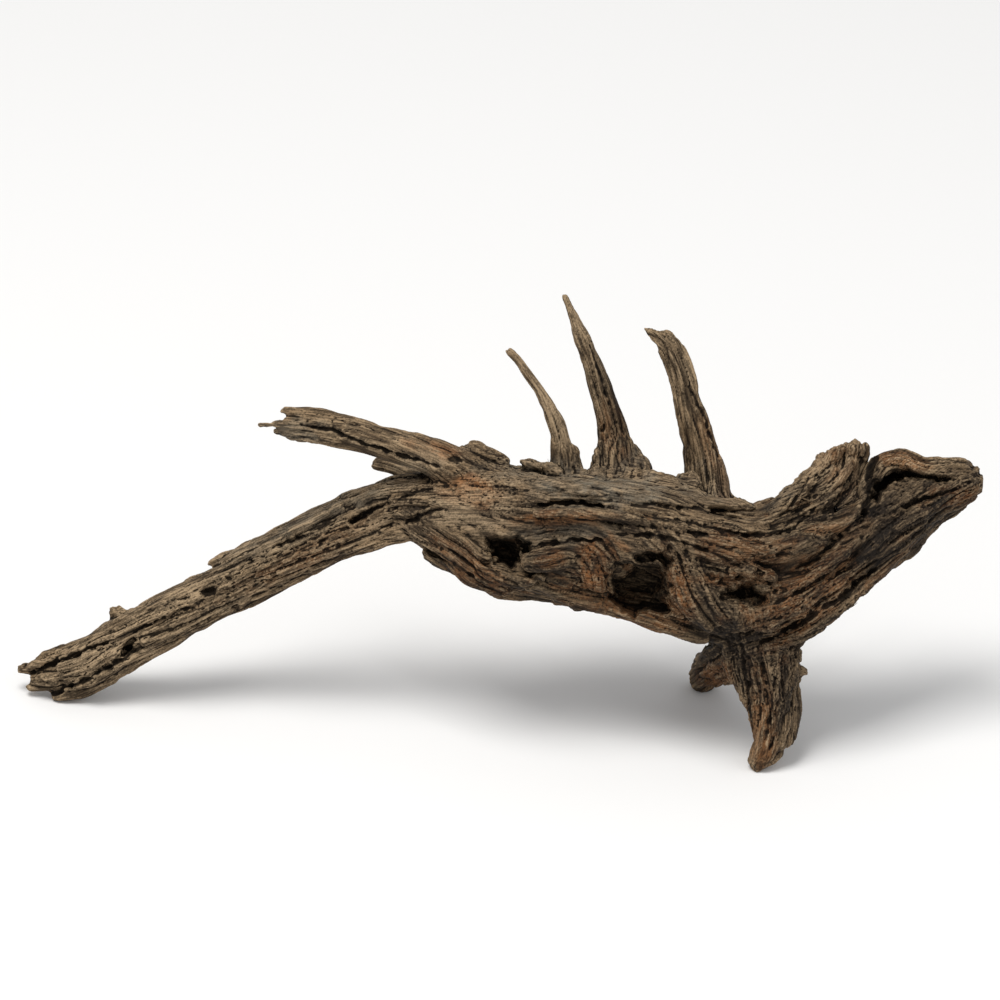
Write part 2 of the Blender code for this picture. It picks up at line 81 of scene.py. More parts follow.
# Grain: lines that the strands of the wood follow, each point (across, up, depth, reach)
GRAIN_LINES = {
    "long_limb": ((-194, 36, 49, 6), (-173, 38.8, 44, 9), (-136, 58.5, 31, 11), (-112, 71, 22, 11),
                  (-64, 94.6, 5, 11.5), (-40, 103.6, -3, 12), (-12, 106, -6, 12)),
    "trunk_top": ((-12, 106, -8, 12), (20, 106, -14, 10), (50, 103, -18, 10), (80, 99, -16, 11),
                  (104, 98, -14, 11), (122, 106, -12, 10), (136, 116, -11, 12), (139.6, 130, -12, 9)),
    "trunk_middle": ((-20, 100, -6, 9), (8, 93, -8, 13), (30, 92, -8, 14), (56, 88, -8, 15),
                     (82, 82, -8, 15), (106, 80, -8, 15), (128, 88, -10, 15), (150, 98, -11, 12)),
    "left_straps": ((-34, 97, -13, 4), (-17, 86, -19, 6), (-8, 79, -19, 7), (6, 76, -20, 7),
                    (22, 71, -14, 8), (44, 66, -14, 8), (64, 60, -14, 9), (84, 54, -12, 10)),
    "hollow_rim": ((14, 88, -30, 5), (28, 91, -32, 6), (38, 87, -32, 6), (42, 78, -31, 6),
                   (44, 68, -26, 6)),
    "right_strap": ((60, 95, -32, 4), (69, 84, -34, 6), (75, 70, -32, 7), (84, 58, -27, 7)),
    "slope": ((98, 52, -12, 9), (118, 58, -15, 11), (132, 68, -16, 13), (147, 80, -15, 14),
              (162, 94, -13, 14), (178, 106, -13, 11), (195, 116, -13, 8)),
    "front_foot": ((98, 68, -8, 14), (105, 46, -7, 14.4), (109, 28, -4, 10.4), (109, 12.8, -2, 8),
                   (104, -2, 0, 4)),
    "foot_thorn": ((112, 42, -8, 4), (124, 38.8, -8, 2.4)),
    "limb_knot": ((-151, 60, 36, 3), (-154.5, 64, 36, 2.4)),
    "back_toe": ((100, 54, 2, 12), (95.4, 47, 14, 10.6), (91.4, 43, 26, 8.4), (83.2, 34.6, 55.6, 5)),
    "split_branch": ((8, 110, -7, 11), (-14, 118.6, -11, 9), (-32, 126.4, -14, 7), (-56, 134, -18, 6),
                     (-97, 138.6, -22, 3)),
    "twig_stub": ((-22, 109, 0, 4), (-36.5, 118.8, 6, 3), (-49, 122.2, 9, 2)),
    "left_spike": ((27, 110, 1, 8), (26.6, 124, 0, 5.5), (23.6, 137, -4, 3.3), (17.2, 150, -8, 2.8),
                   (3.6, 168, -13, 1.4)),
    "middle_spike": ((49, 112, 1, 12), (47.6, 127, 0, 8.4), (44.4, 141, -7, 4.9), (36.8, 163, -18, 3.7),
                     (25.8, 189.6, -28, 1.4)),
    "right_spike": ((85, 104, 5, 10), (82.4, 121, 1, 7.5), (78.8, 137, -5, 6.2), (74.4, 153, -10, 5.5),
                    (68, 169, -14, 4), (57.4, 176.6, -16, 1.5)),
    "snout_lip": ((147, 106, -20, 4), (148.6, 115, -20, 5), (153, 122.2, -19, 5), (160.5, 123.8, -18, 5),
                  (169.5, 120, -18, 5), (187, 120, -16, 5)),
}

# Small forms grown onto the skin: (across, up, depth, half width, half depth) from end to end
GROWN_ON = {
    "left_flap": ((-29.4, 89.2, -14, 0.5, 1), (-28, 86, -15, 1.1, 2), (-25, 84, -15.5, 1.6, 2.8),
                  (-18, 80.6, -17, 2.2, 3.6), (-8, 75, -18, 2.4, 4), (2, 71.5, -17, 2, 4)),
    "limb_splinter": ((-116.6, 81.4, 20, 0.4, 0.4), (-111, 84.8, 20, 0.75, 0.75), (-104, 88.6, 20, 0.9, 0.9),
                      (-96, 91.5, 20, 0.8, 0.8)),
    "ridge_sliver": ((101.8, 104.6, -20, 0.5, 0.8), (96, 105.2, -22, 0.9, 1.3), (88, 106, -24, 1.3, 2),
                     (74, 106.6, -25, 1.3, 2)),
    "top_strap": ((14, 102.6, -35, 1.2, 2), (30, 102.4, -37, 1.8, 2.4), (46, 101, -38, 1.9, 2.6),
                  (62, 98.4, -37, 1.6, 2.4), (74, 97, -35, 1.1, 2)),
    "middle_strap": ((50, 96.5, -36, 1.3, 2), (64, 94, -37, 1.8, 2.4), (80, 90.4, -35, 1.9, 2.4),
                     (98, 91, -32, 1.6, 2.2), (114, 96, -28, 1.4, 2)),
    "hollow_strap": ((-22, 92, -20, 1.2, 2), (-10, 86, -24, 1.7, 2.4), (-4, 79, -25, 1.7, 2.4),
                     (5, 75.8, -26, 1.6, 2.2), (18, 76.8, -28, 1.4, 2)),
    "rim_strap": ((58, 93, -36, 1.4, 2), (67, 91, -37, 1.9, 2.6), (74, 84, -36, 1.9, 2.6),
                  (75, 72, -33, 1.6, 2.4), (80, 62, -29, 1.2, 2)),
    "eye_brow": ((86, 75, -31, 1.2, 2), (93, 78.4, -33, 1.8, 2.4), (101, 79.4, -33, 1.8, 2.4),
                 (109, 76, -31, 1.5, 2.2), (113, 70, -29, 1.1, 2)),
    "slope_plane": ((110, 68, -29, 1.4, 2), (122, 75, -29, 2.4, 2.4), (134, 83, -28, 2.2, 2.4),
                    (144, 92, -26, 1.4, 2)),
    "dark_plane": ((128, 93, -26, 1.2, 2), (138, 99, -26, 2.2, 2.6), (148, 106, -25, 2.0, 2.4),
                   (156, 110.6, -24, 1.0, 1.6)),
    "under_plane": ((112, 60, -26, 1.2, 2), (124, 67, -26, 2.2, 2.4), (136, 75.6, -25, 2.2, 2.4),
                    (146, 84, -24, 1.2, 1.8)),
    "ridge_bark": ((-11, 129.6, -9, 0.6, 1), (-8, 128.2, -10, 1.5, 2.4), (-3, 126, -10, 2.2, 3),
                   (4, 122.6, -10, 1.4, 2.4)),
    "ridge_scale": ((9, 123.6, -5, 0.5, 1), (12, 122.4, -6, 1.3, 2.4), (18, 120.6, -7, 1.5, 2.6),
                    (25, 118.6, -8, 1, 2)),
    "ridge_lump": ((72, 115.6, -9, 1.2, 2), (76, 116.6, -10, 1.6, 2.6), (80, 113.4, -12, 1.6, 2.6)),
    "knob_rim": ((127, 120, -18, 1.6, 2.4), (133, 125, -19, 2.2, 3), (140, 128, -18, 2.4, 3),
                 (146, 127, -16, 2, 2.6)),
}

# Lines of the thin limbs, which take less relief
THIN_LINES = ("limb_knot", "foot_thorn", "split_branch", "twig_stub", "left_spike", "middle_spike",
              "right_spike")

# Rotted hollows seen from the front: depth, width of the sloping rim, darkness of the painted shade inside,
# and outline (across, up)
HOLLOWS = {
    "left": (10.0, 1.7, 0.55,
             ((-6.0, 93.1), (-0.9, 94.3), (7.5, 93.5), (14.0, 90.9), (12.1, 87.5), (9.7, 84.4),
              (9.0, 79.7), (4.7, 78.8), (-0.9, 81.6), (-3.7, 86.8))),
    "middle": (13.0, 2.4, 0.5,
               ((54.0, 86.7), (59.7, 88.4), (66.0, 88.0), (70.8, 84.0), (69.4, 78.8), (71.4, 73.2),
                (68.8, 68.2), (70.6, 63.4), (66.4, 60.4), (60.4, 62.8), (54.2, 60.8), (47.0, 64.8),
                (42.6, 68.6), (45.4, 72.6), (43.8, 76.4), (49.6, 78.6), (53.0, 82.4))),
    "limb_slit": (5.0, 1.6, 0.7,
                  ((-61.2, 98.5), (-58.4, 101.7), (-51.2, 104.9), (-46.0, 106.9), (-40.8, 108.1),
                   (-42.4, 105.3), (-47.2, 102.9), (-52.8, 100.1), (-58.4, 96.9))),
    "low_slit": (4.0, 1.4, 0.7,
                 ((-91.4, 88.9), (-86.4, 91.9), (-80.8, 94.1), (-73.4, 96.3), (-76.4, 92.5),
                  (-82.4, 90.3), (-87.2, 87.5))),
    "end_hole": (4.0, 1.6, 0.7,
                 ((-153.0, 45.7), (-149.2, 49.3), (-144.0, 51.3), (-141.4, 49.3), (-144.8, 45.7),
                  (-149.2, 43.7))),
    "slope_gap": (4.0, 1.8, 0.55,
                  ((117.6, 80.8), (123.0, 85.0), (130.0, 90.0), (137.0, 95.6), (139.0, 93.4),
                   (132.4, 86.8), (125.0, 81.4), (119.4, 78.6))),
    "snout_gap": (3.4, 1.4, 0.6,
                  ((158.0, 104.4), (164.4, 108.2), (172.0, 110.6), (180.0, 112.6), (187.0, 112.8),
                   (180.0, 110.2), (171.4, 107.4), (163.6, 103.8))),
    "root_slit": (3.0, 1.2, 0.6,
                  ((-40.0, 98.3), (-33.2, 102.3), (-26.4, 104.3), (-20.0, 104.7), (-26.0, 101.1),
                   (-33.2, 98.7))),
    "eye": (6.0, 2.6, 0.5,
            ((89.2, 70.4), (92.4, 73.2), (98.0, 74.5), (103.6, 73.2), (107.3, 70.0), (108.2, 66.6),
             (104.5, 64.2), (98.0, 63.8), (92.4, 65.7))),
    "above_eye": (4.0, 1.5, 0.4,
                  ((100.4, 79.4), (102.6, 80.8), (105.6, 79.8), (106.2, 77.4), (103.4, 76.2))),
    "snout": (8.0, 1.5, 0.8,
              ((147.4, 107.7), (149.7, 113.3), (153.0, 117.4), (157.7, 120.8), (164.2, 121.1),
               (169.8, 118.9), (175.4, 117.4), (182.9, 117.0), (183.8, 114.8), (175.4, 114.2),
               (168.0, 115.5), (162.4, 116.1), (157.7, 114.2), (154.0, 110.5), (151.2, 105.8))),
}

# Cracks and ridges, listed one by one: half width, depth or height, and the path (across, up)
CRACKS = (
    (1.1, 3.4, ((-190.4, 36.5), (-179.2, 42.1), (-167.2, 46.9), (-157.2, 50.7))),
    (1.1, 3.6, ((-181.2, 28.5), (-167.2, 34.9), (-159.2, 38.9), (-148.2, 45.5))),
    (0.9, 2.6, ((-40.4, 107.5), (-33.2, 110.7), (-24.4, 112.7))),
    (0.9, 2.4, ((-74.0, 95.7), (-67.2, 98.7), (-60.4, 101.1))),
    (0.68, 2.0, ((-77.2, 87.3), (-70.4, 90.1))),
    (0.68, 2.1, ((-190.4, 36.5), (-179.2, 42.1), (-167.2, 46.9), (-159.2, 49.7))),
    (0.81, 2.6, ((-179.2, 30.1), (-167.2, 34.9), (-159.2, 38.9), (-143.2, 48.5))),
    (0.61, 1.4, ((-159.2, 53.3), (-135.2, 64.9), (-111.2, 76.1), (-91.2, 87.7), (-67.2, 100.5),
                (-55.2, 106.5))),
    (0.61, 1.6, ((-147.2, 54.5), (-127.2, 63.3), (-116.0, 68.5))),
    (0.68, 1.6, ((-106.4, 73.3), (-87.2, 83.3), (-67.2, 93.3), (-47.2, 104.1))),
    (0.61, 1.3, ((-139.2, 47.7), (-119.2, 58.5), (-95.2, 69.7), (-71.2, 82.5), (-45.2, 94.5))),
    (0.81, 2.9, ((-79.2, 137.7), (-66.0, 135.7), (-55.2, 130.5), (-39.2, 125.7), (-23.2, 120.9))),
    (0.54, 1.3, ((-63.2, 139.7), (-55.2, 137.7), (-46.4, 134.5))),
    (0.54, 1.2, ((-66.0, 139.7), (-65.6, 134.5))),
    (1.22, 4.5, ((16.0, 105.7), (28.8, 106.5), (41.6, 104.9))),
    (0.81, 3.1, ((10.4, 88.1), (18.8, 90.5), (30.8, 91.7), (41.6, 91.7))),
    (1.22, 4.5, ((104.0, 50.1), (120.8, 58.9), (136.8, 68.9), (150.4, 80.1))),
    (0.68, 1.8, ((76.0, 153.7), (82.8, 139.7), (88.4, 122.9))),
    (0.68, 1.6, ((36.8, 169.7), (42.4, 153.7), (47.2, 137.7))),
    (0.8, 2.6, ((124.0, 117.0), (120.8, 111.0), (117.0, 105.0))),
    (1.6, 4.0, ((150.8, 126.0), (148.6, 119.0), (147.6, 110.0), (145.6, 101.0))),
    (0.47, 0.9, ((24.8, 114.9), (40.8, 116.5), (60.8, 116.5))),
    (0.47, 0.9, ((23.2, 111.7), (40.8, 112.5), (62.8, 112.1))),
    (0.47, 0.9, ((24.8, 108.9), (40.8, 109.3), (58.8, 108.9))),
    (0.68, 2.0, ((-24.8, 87.3), (-13.2, 79.7), (-4.8, 73.7), (2.8, 69.3))),
    (0.68, 2.0, ((-19.2, 88.5), (-7.2, 79.3), (5.6, 72.5), (18.8, 69.3))),
    (0.68, 1.8, ((-14.4, 89.3), (-6.4, 82.9), (0.8, 76.9), (12.8, 72.5))),
    (0.81, 2.6, ((64.8, 105.7), (80.8, 104.1), (96.0, 99.3))),
    (0.81, 2.3, ((56.8, 100.9), (76.8, 98.5), (96.8, 93.3), (116.8, 95.7), (128.0, 105.7))),
    (0.81, 2.3, ((44.8, 94.5), (64.8, 93.3), (80.8, 88.5), (92.8, 83.7))),
    (0.81, 2.3, ((97.6, 45.7), (100.0, 31.7), (101.6, 15.7))),
    (0.68, 2.0, ((110.8, 43.7), (109.6, 27.7), (106.4, 11.7))),
    (0.68, 1.8, ((40.8, 126.9), (39.2, 131.7), (42.4, 137.7))),
)
RIDGES = (
    (0.9, 0.9, ((-27.2, 90.5), (-15.2, 83.7), (-7.2, 76.5), (2.8, 73.3), (16.8, 74.1))),
    (0.8, 0.8, ((-23.2, 91.7), (-11.2, 85.7), (-3.2, 78.9), (6.8, 75.7))),
    (0.8, 0.8, ((-193.2, 38.1), (-159.2, 54.9), (-127.2, 71.7), (-95.2, 88.1), (-63.2, 104.5),
                (-39.2, 114.1))),
    (0.9, 0.7, ((-139.2, 45.7), (-119.2, 56.5), (-95.2, 67.7), (-71.2, 80.5), (-45.2, 91.3))),
    (0.9, 0.8, ((56.8, 85.3), (63.2, 85.3), (67.2, 81.3), (68.0, 73.7), (64.8, 65.7))),
    (1.2, 0.9, ((87.2, 70.1), (92.0, 73.7), (98.8, 76.1), (105.6, 74.1), (110.4, 69.3), (108.0, 62.9),
                (100.0, 59.7))),
    (1.0, 0.9, ((8.8, 100.9), (24.8, 102.5), (40.8, 101.3), (56.8, 99.7))),
    (1.0, 0.9, ((40.8, 105.7), (64.8, 107.7), (96.8, 100.5))),
    (1.0, 0.9, ((45.6, 97.3), (72.8, 94.9), (96.8, 88.5), (120.8, 89.7), (132.8, 101.7))),
    (1.0, 0.9, ((101.6, 54.9), (120.8, 63.7), (138.8, 74.9))),
    (1.0, 0.8, ((34.8, 86.9), (40.0, 73.7), (46.4, 62.9))),
    (0.8, 0.8, ((148.8, 115.7), (152.8, 122.9), (162.8, 124.9), (170.8, 121.3))),
)

# Region marks: (across, up, half length, half width, turn in degrees, strength)
RUST_PATCHES = (
    (-25, 128, 12, 4, -15, 0.6), (-11, 111, 13, 6, -10, 0.7), (-79, 84, 30, 5, 28, 0.35),
    (25, 100.5, 20, 3, 3, 0.8), (21, 84, 6, 4, 20, 0.9), (38, 80, 6, 13, 10, 1.0), (71.6, 72, 6, 16, 12, 1.0),
    (124, 73, 24, 10, 30, 0.8), (97, 88, 20, 7, -10, 0.6), (121, 59, 24, 4.5, 36, 0.8),
    (88, 37, 7, 6, 10, 1.0), (105, 22, 6, 22, 5, 0.5), (181, 108.5, 13, 4.5, 5, 1.0),
    (160, 123, 12, 3.5, -10, 0.6), (136, 122, 9, 9, 0, 0.45), (40, 68, 14, 5, -15, 0.7),
    (57, 60, 16, 5, -15, 0.7), (-11, 81, 20, 6, -38, 0.7), (96, 76, 16, 3, 0, 0.8), (105, 60, 9, 6, 20, 0.5),
    (140, 96, 9, 7, 60, 0.3), (86, 128, 4, 20, 14, 0.3), (46, 136, 5, 14, 10, 0.4),
)
BROAD_STAINS = ((60, 78, 84, 25, -6, 0.55), (128, 78, 46, 34, 25, 0.65))
STAIN_PATCHES = BROAD_STAINS + (
    (156, 96, 22, 24, 20, 1.0), (168, 104, 28, 10, 14, 0.9), (104, 44, 26, 20, 0, 0.7),
    (92, 50, 22, 12, 0, 0.8), (150, 93, 12, 18, 20, 1.0), (162, 114, 15, 6, 0, 0.9),
    (185, 117.5, 12, 5, 0, 0.7), (117, 32, 5, 18, 5, 0.8), (98, 48, 16, 6, 5, 0.7), (81, 61, 9, 8, 0, 0.7),
    (44.5, 150, 3, 26, 16, 0.6), (77, 107, 14, 4, -8, 0.5), (-7, 125, 8, 4, 0, 0.4), (60, 93, 16, 4, -5, 0.5),
    (88, 100, 14, 5, -20, 0.4), (20, 95, 20, 4, 5, 0.5), (85, 146, 2, 22, 18, 0.5), (140, 78, 18, 4, 40, 0.4),
    (0, 88, 10, 12, 0, 0.4), (53, 76, 16, 15, 0, 0.5), (172, 100, 16, 6, 35, 0.5), (-10, 80, 26, 8, -36, 0.5),
    (32, 97, 32, 5, 3, 0.6), (-20, 83, 12, 4, -20, 0.7), (112, 30, 6, 22, 5, 0.4), (-60, 98, 46, 6, 27, 0.3),
    (-30, 100, 12, 8, 0, 0.3),
)
PALE_PATCHES = (
    (-120, 74, 84, 6, 27, 0.5), (-45, 131, 30, 9, -14, 0.25), (22, 146, 9, 28, 20, 0.6),
    (-42, 122, 10, 5, 0, 0.5), (-12, 104, 22, 9, 0, 0.5), (-160, 44, 40, 9, 27, 0.6),
    (-90, 76, 60, 4, 27, 0.5), (75, 160, 10, 20, 15, 0.4), (-30, 97, 12, 10, 0, 0.3),
    (37, 160, 5, 30, 20, 0.4), (137, 119, 12, 9, 20, 0.8),
)
GREY_PATCHES = (
    (44, 111, 34, 8, 0, 1.0), (-60, 107, 60, 6, 27, 0.6), (20, 119, 26, 6, 0, 0.7), (84, 112, 20, 6, 0, 0.6),
    (48, 124, 14, 9, 0, 0.5), (26, 94, 26, 5, 5, 0.6), (-85, 135, 20, 6, -5, 0.6), (85, 118, 10, 10, 0, 0.5),
    (108, 110, 16, 6, 20, 0.5),
)
ROUGH_PATCHES = (
    (-92, 80, 62, 6, 27, 1.0), (-165, 42, 20, 8, 27, 0.6), (72, 74, 8, 18, 10, 0.9), (96, 72, 18, 12, 0, 0.8),
    (130, 66, 26, 14, 32, 0.8), (165, 105, 28, 16, 20, 1.0), (104, 40, 18, 22, 0, 0.8),
    (-4, 112, 20, 9, -15, 0.7), (38, 80, 10, 14, 0, 0.6), (126, 110, 14, 18, 20, 0.6),
    (10, 120, 26, 6, 0, 0.6), (85, 96, 16, 6, -10, 0.6),
)
SMOOTH_PATCHES = (
    (-45, 131, 32, 9, -14, 0.8), (22, 146, 9, 28, 20, 0.6), (38, 160, 9, 30, 20, 0.6),
    (42, 111, 30, 7, 0, 0.8), (26, 94, 26, 6, 5, 0.9), (-120, 78, 84, 3, 27, 0.5), (-92, 70, 50, 3, 27, 0.5),
    (76, 150, 9, 26, 15, 0.5),
)

# Lumps of bark and burl: (across, up, depth), radius and height
BARK_LUMPS = (
    ((-9, 126, -9), 5.5, 2.6), ((-3, 123, -9), 4.0, 1.8), ((12.8, 121, -5), 4.0, 2.0),
    ((31.6, 128, -1), 3.4, 1.5), ((39, 119.5, -9), 5.5, 2.2), ((57, 122, -2), 4.5, 2.0),
    ((106, 107, -16), 3.4, 1.6), ((76.8, 114, -10), 5.0, 1.6), ((145, 125, -12), 5.5, 3.0),
    ((131, 121, -12), 4.5, 2.2), ((31.6, 66, -16), 3.6, 2.2), ((48, 62, -15), 3.0, 1.6),
    ((82, 36, 14), 5.0, 2.0), ((93, 33, 14), 4.0, 1.6), ((66, 113, -22), 4.0, 1.2),
    ((92, 104, -20), 4.0, 1.4), ((22, 100, -32), 6.0, 1.0), ((120, 64, -26), 6.0, 1.2),
    ((112, 92, -26), 6.0, 1.2), ((74, 78, -33), 5.0, 1.2),
)

# Worm holes: (across, up, half length, half width, turn in degrees, depth)
WORM_HOLES = (
    (-116.0, 70.9, 3.4, 1.9, 20, 3.0), (-108.4, 76.5, 1.2, 1.0, 0, 1.5),
    (-105.2, 64.9, 1.8, 1.1, 25, 1.8), (-17.2, 123.7, 3.2, 1.3, -10, 2.0),
    (-59.6, 105.0, 2.4, 1.2, 28, 1.6), (-70.0, 91.0, 2.0, 0.9, 28, 1.4), (-90.0, 77.5, 1.6, 0.8, 28, 1.4),
    (68.0, 88.0, 2.4, 1.4, 60, 1.6), (82.0, 84.0, 2.6, 1.3, -20, 1.8), (113.0, 86.0, 3.0, 1.3, 10, 1.8),
)

# Each slot's finish: its roughness on ridges and in cracks, and the strength of its bump
SLOT_LOOKS = {
    "trunk_wood": (0.72, 0.95, 0.5),
    "dark_wood": (0.7, 0.95, 0.6),
    "limb_wood": (0.78, 0.95, 0.45),
    "spike_wood": (0.75, 0.95, 0.4),
}

# Each piece: the solid that it stands for, its slot, and the grain lines that it follows
PIECES = {
    "trunk": ("trunk", "trunk_wood", ("trunk_top", "left_straps")),
    "trunk_middle": ("trunk", "trunk_wood", ("trunk_middle",)),
    "trunk_right": ("trunk", "trunk_wood", ("trunk_middle", "slope")),
    "burl_knob": ("burl_knob", "trunk_wood", ("trunk_top",)),
    "snout": ("snout", "dark_wood", ("slope",)),
    "front_foot": ("front_foot", "dark_wood", ("front_foot",)),
    "back_toe": ("back_toe", "dark_wood", ("back_toe",)),
    "long_limb": ("long_limb", "limb_wood", ("long_limb",)),
    "split_branch": ("split_branch", "limb_wood", ("split_branch",)),
    "twig_stub": ("twig_stub", "limb_wood", ("twig_stub",)),
    "left_spike": ("left_spike", "spike_wood", ("left_spike",)),
    "middle_spike": ("middle_spike", "spike_wood", ("middle_spike",)),
    "right_spike": ("right_spike", "spike_wood", ("right_spike",)),
}

# Which piece each face of the skin belongs to, filled by the first operator that parts it
LABELS = {}

# Layers along the grain: length and width of the strands, in mm, and the seed
THICK_STRANDS = (110, 6.6, 11)
MIDDLE_STRANDS = (75, 2.7, 12)
FINE_STRANDS = (60, 1.7, 21)
FIBRES = (16, 0.8, 22)
PITS = (4.2, 1.7, 24)
LIGHT_STREAKS = (22, 0.9, 27)
BROAD_STREAKS = (40, 3.2, 28)
DARK_SPOTS = (16, 6.0, 42)
RUST_FLECKS = (18, 4.5, 44)
# Ledges have the number of their treads before the seed, and drying cracks their half width after it
LEDGES = (85, 7.0, 2.0, 13)
LONG_CHECKS = (120, 5.0, 14, 0.075)
SHORT_CHECKS = (80, 3.0, 18, 0.07)
FINE_CHECKS = (50, 2.2, 23, 0.05)

# Clouds without grain, in layers of (amount, size in mm, seed)
PATCH_EDGES = ((1.0, 7.0, 3),)
BREAKS = ((1.2, 3.6, 9),)
LUMPS = ((1.0, 6.5, 16), (0.7, 3.1, 17))
CRUMBS = ((1.0, 0.9, 25), (0.8, 2.0, 26))
TONE_CLOUDS = ((0.45, 13.0, 29),)
VARIED_CLOUDS = ((1.0, 15.0, 41),)
DARK_CLOUDS = ((0.5, 22.0, 43),)
RUST_CLOUDS = ((0.4, 5.0, 45),)
# How the listed marks wander, across and up
WOBBLES = (((0.7, 3.2, 5), (0.2, 1.1, 7)), ((0.7, 3.2, 6), (0.2, 1.1, 8)))
# How the grain wavers along, beside and behind its lines
WAVERS = (((1.0, 17.0, 31), (0.1, 4.0, 40)), ((1.0, 17.0, 32), (0.1, 4.0, 41)),
          ((1.0, 17.0, 33), (0.1, 4.0, 42)))

# How the grain lies by its lines
LINE_MARGIN = 34                # how far a line's box reaches beyond it, in mm
LINE_CORE = 0.25                # squared share of its reach over which a line's weight hardly falls
LINE_FALL = -5.0                # how steeply the weight falls beyond that
FAINT_SHARE = 0.04              # smaller shares are left out
LINES_APART = 211.0             # keeps the noise of one line apart from the next one's, in mm
GRAIN_TWIST = 0.012             # turn of the grain, in radians a mm
GRAIN_DEPTH = 0.7               # how much of its depth the grain keeps
WAVER_ALONG = 2
WAVER_BESIDE = 1.5
WAVER_BEHIND = 0.4

# Depths and heights of the carving, in mm; the other ones can be set in the panel
LONG_CHECK_DEPTH = 1.8
SHORT_CHECK_DEPTH = 1.0
CRUMB_HEIGHT = 0.3
PIT_DEPTH = 0.7
MIDDLE_SHARE = 0.3              # of the middle strands in the bundles' height
HOLLOW_WOBBLE = 1.4             # how much more the hollows' outlines wander than the cracks
EDGE_ON = 0.05                  # marks lie only where the skin faces the viewer by more than this
PATCH_RIM = (0.55, 1.3)         # where a patch begins to fade and where it ends, as shares of its size
HOLE_RIM = (0.6, 1.25)
LUMP_RIM = (0.1, 1.1)
THIN_REACH = (1.2, 2.6)         # squared shares of a thin limb's reach over which the relief comes back
THIN_SHARE = 0.3                # of the relief on the thin limbs
SOLE = (0.5, 4.0)               # heights over the floor between which the carving reaches its full depth
SOLE_SHARE = 0.3                # of the carving on the floor itself
BOX_EDGE = 0.05 * MM            # what stays free inside the solids' box
BOX_KNEE = 0.8 * MM             # where points begin to ease back from it

# Painted shade in hollows over three breadths: rounds of blurring, depths in mm from which and to which
# the hollows are painted darker, and how much
HOLLOW_SHADE_BREADTHS = ((3, 0.0, 0.12, 0.55), (14, 0.02, 0.34, 0.85), (40, 0.1, 0.9, 0.6))
# Edge wear and painted highlight on what stands out, over the first two of these breadths: from, to and how
# much
EDGE_WEAR_AND_HIGHLIGHT = ((0.02, 0.16, 0.75), (0.1, 0.7, 0.8))
BLACK_CRACK = 2.5               # depth in mm at which a listed crack is painted wholly dark, as painted shade
BLACK_HOLE = 3                  # and a worm hole

# How one mask breaks up another: from and to in the one, and what they leave of the other
TONE_RANGE = (0.25, 0.95)
CRACK_SHADE_RANGE = (0.1, 0.85)
GREY_BREAKS = (0.0, 0.9, 0.35, 1.0)
RUST_BREAKS = (0.35, 0.95, 0.15, 1.0)
BLEACH_BREAKS = (0.2, 0.8, 0.2, 0.9)
WEAR_AND_HIGHLIGHT_BREAKS = (0.0, 1.0, 0.35, 0.75)
STAIN_BREAKS = (0.1, 0.9, 1.0, 0.65)
SPECK_BRIGHTNESS = (0.0, 1.0, 0.42, 1.54)


def unit_rows(rows):
    """Rows scaled to length one."""
    return rows / np.maximum(np.linalg.norm(rows, axis=1, keepdims=True), 1e-9)


def read_values(items, field, width=1, kind=np.float32):
    """One field of all the items, such as points or faces, with a row for each if it has several numbers."""
    values = np.zeros(len(items) * width, kind)
    items.foreach_get(field, values)
    return values.reshape(-1, width) if width > 1 else values


def on_sheet(points):
    """World points, in metres, as (across, depth, up) on the sheet, in millimetres."""
    near = points / MM - np.array(SHEET_SHIFT, np.float32)
    depth = near[:, 1] * math.cos(LEAN) - near[:, 2] * math.sin(LEAN)
    up = near[:, 1] * math.sin(LEAN) + near[:, 2] * math.cos(LEAN)
    return np.stack((near[:, 0], depth, up), axis=1).astype(np.float32)


def off_sheet(points):
    """Sheet points back in the world, in metres."""
    away = points[:, 1] * math.cos(LEAN) + points[:, 2] * math.sin(LEAN)
    high = -points[:, 1] * math.sin(LEAN) + points[:, 2] * math.cos(LEAN)
    world = np.stack((points[:, 0], away, high), axis=1) + np.array(SHEET_SHIFT, np.float32)
    return (world * MM).astype(np.float32)


def ease(low, high, value):
    """Smooth step from 0 at low to 1 at high."""
    share = np.clip((value - low) / (high - low), 0, 1)
    return share * share * (3 - 2 * share)


def scrambled(cell, seed):
    """A hash for each cell of a lattice."""
    mixed = cell[:, 0] * np.uint32(374761393) + cell[:, 1] * np.uint32(668265263)
    mixed += cell[:, 2] * np.uint32(2147483647) + np.uint32(seed * 974634 + 12345)
    mixed ^= mixed >> np.uint32(13)
    mixed *= np.uint32(1274126177)
    mixed ^= mixed >> np.uint32(16)
    mixed *= np.uint32(2246822519)
    return mixed ^ (mixed >> np.uint32(13))


def unit(bits, shift):
    """Ten bits of a hash as numbers from 0 to 1."""
    return ((bits >> np.uint32(shift)) & np.uint32(1023)).astype(np.float32) / 1023


def grain_noise(points, seed):
    """Smooth noise from about -1 to 1 at each point."""
    floor = np.floor(points)
    inside = (points - floor).astype(np.float32)
    cell = floor.astype(np.int64).astype(np.uint32)
    curve = inside ** 3 * (inside * (inside * 6 - 15) + 10)
    total = np.zeros(len(points), np.float32)
    for corner in np.ndindex(2, 2, 2):
        step = np.array(corner)
        bits = scrambled(cell + step.astype(np.uint32), seed)
        away = inside - step.astype(np.float32)
        slope = away[:, 0] * (2 * unit(bits, 0) - 1)
        slope += away[:, 1] * (2 * unit(bits, 10) - 1)
        slope += away[:, 2] * (2 * unit(bits, 20) - 1)
        share = np.prod(np.where(step, curve, 1 - curve), axis=1)
        total += slope * share
    return total * 1.5


def clouded(points, layers):
    """Noise without grain, in layers of (amount, size, seed)."""
    return sum(amount * grain_noise(points / size, seed) for amount, size, seed in layers)


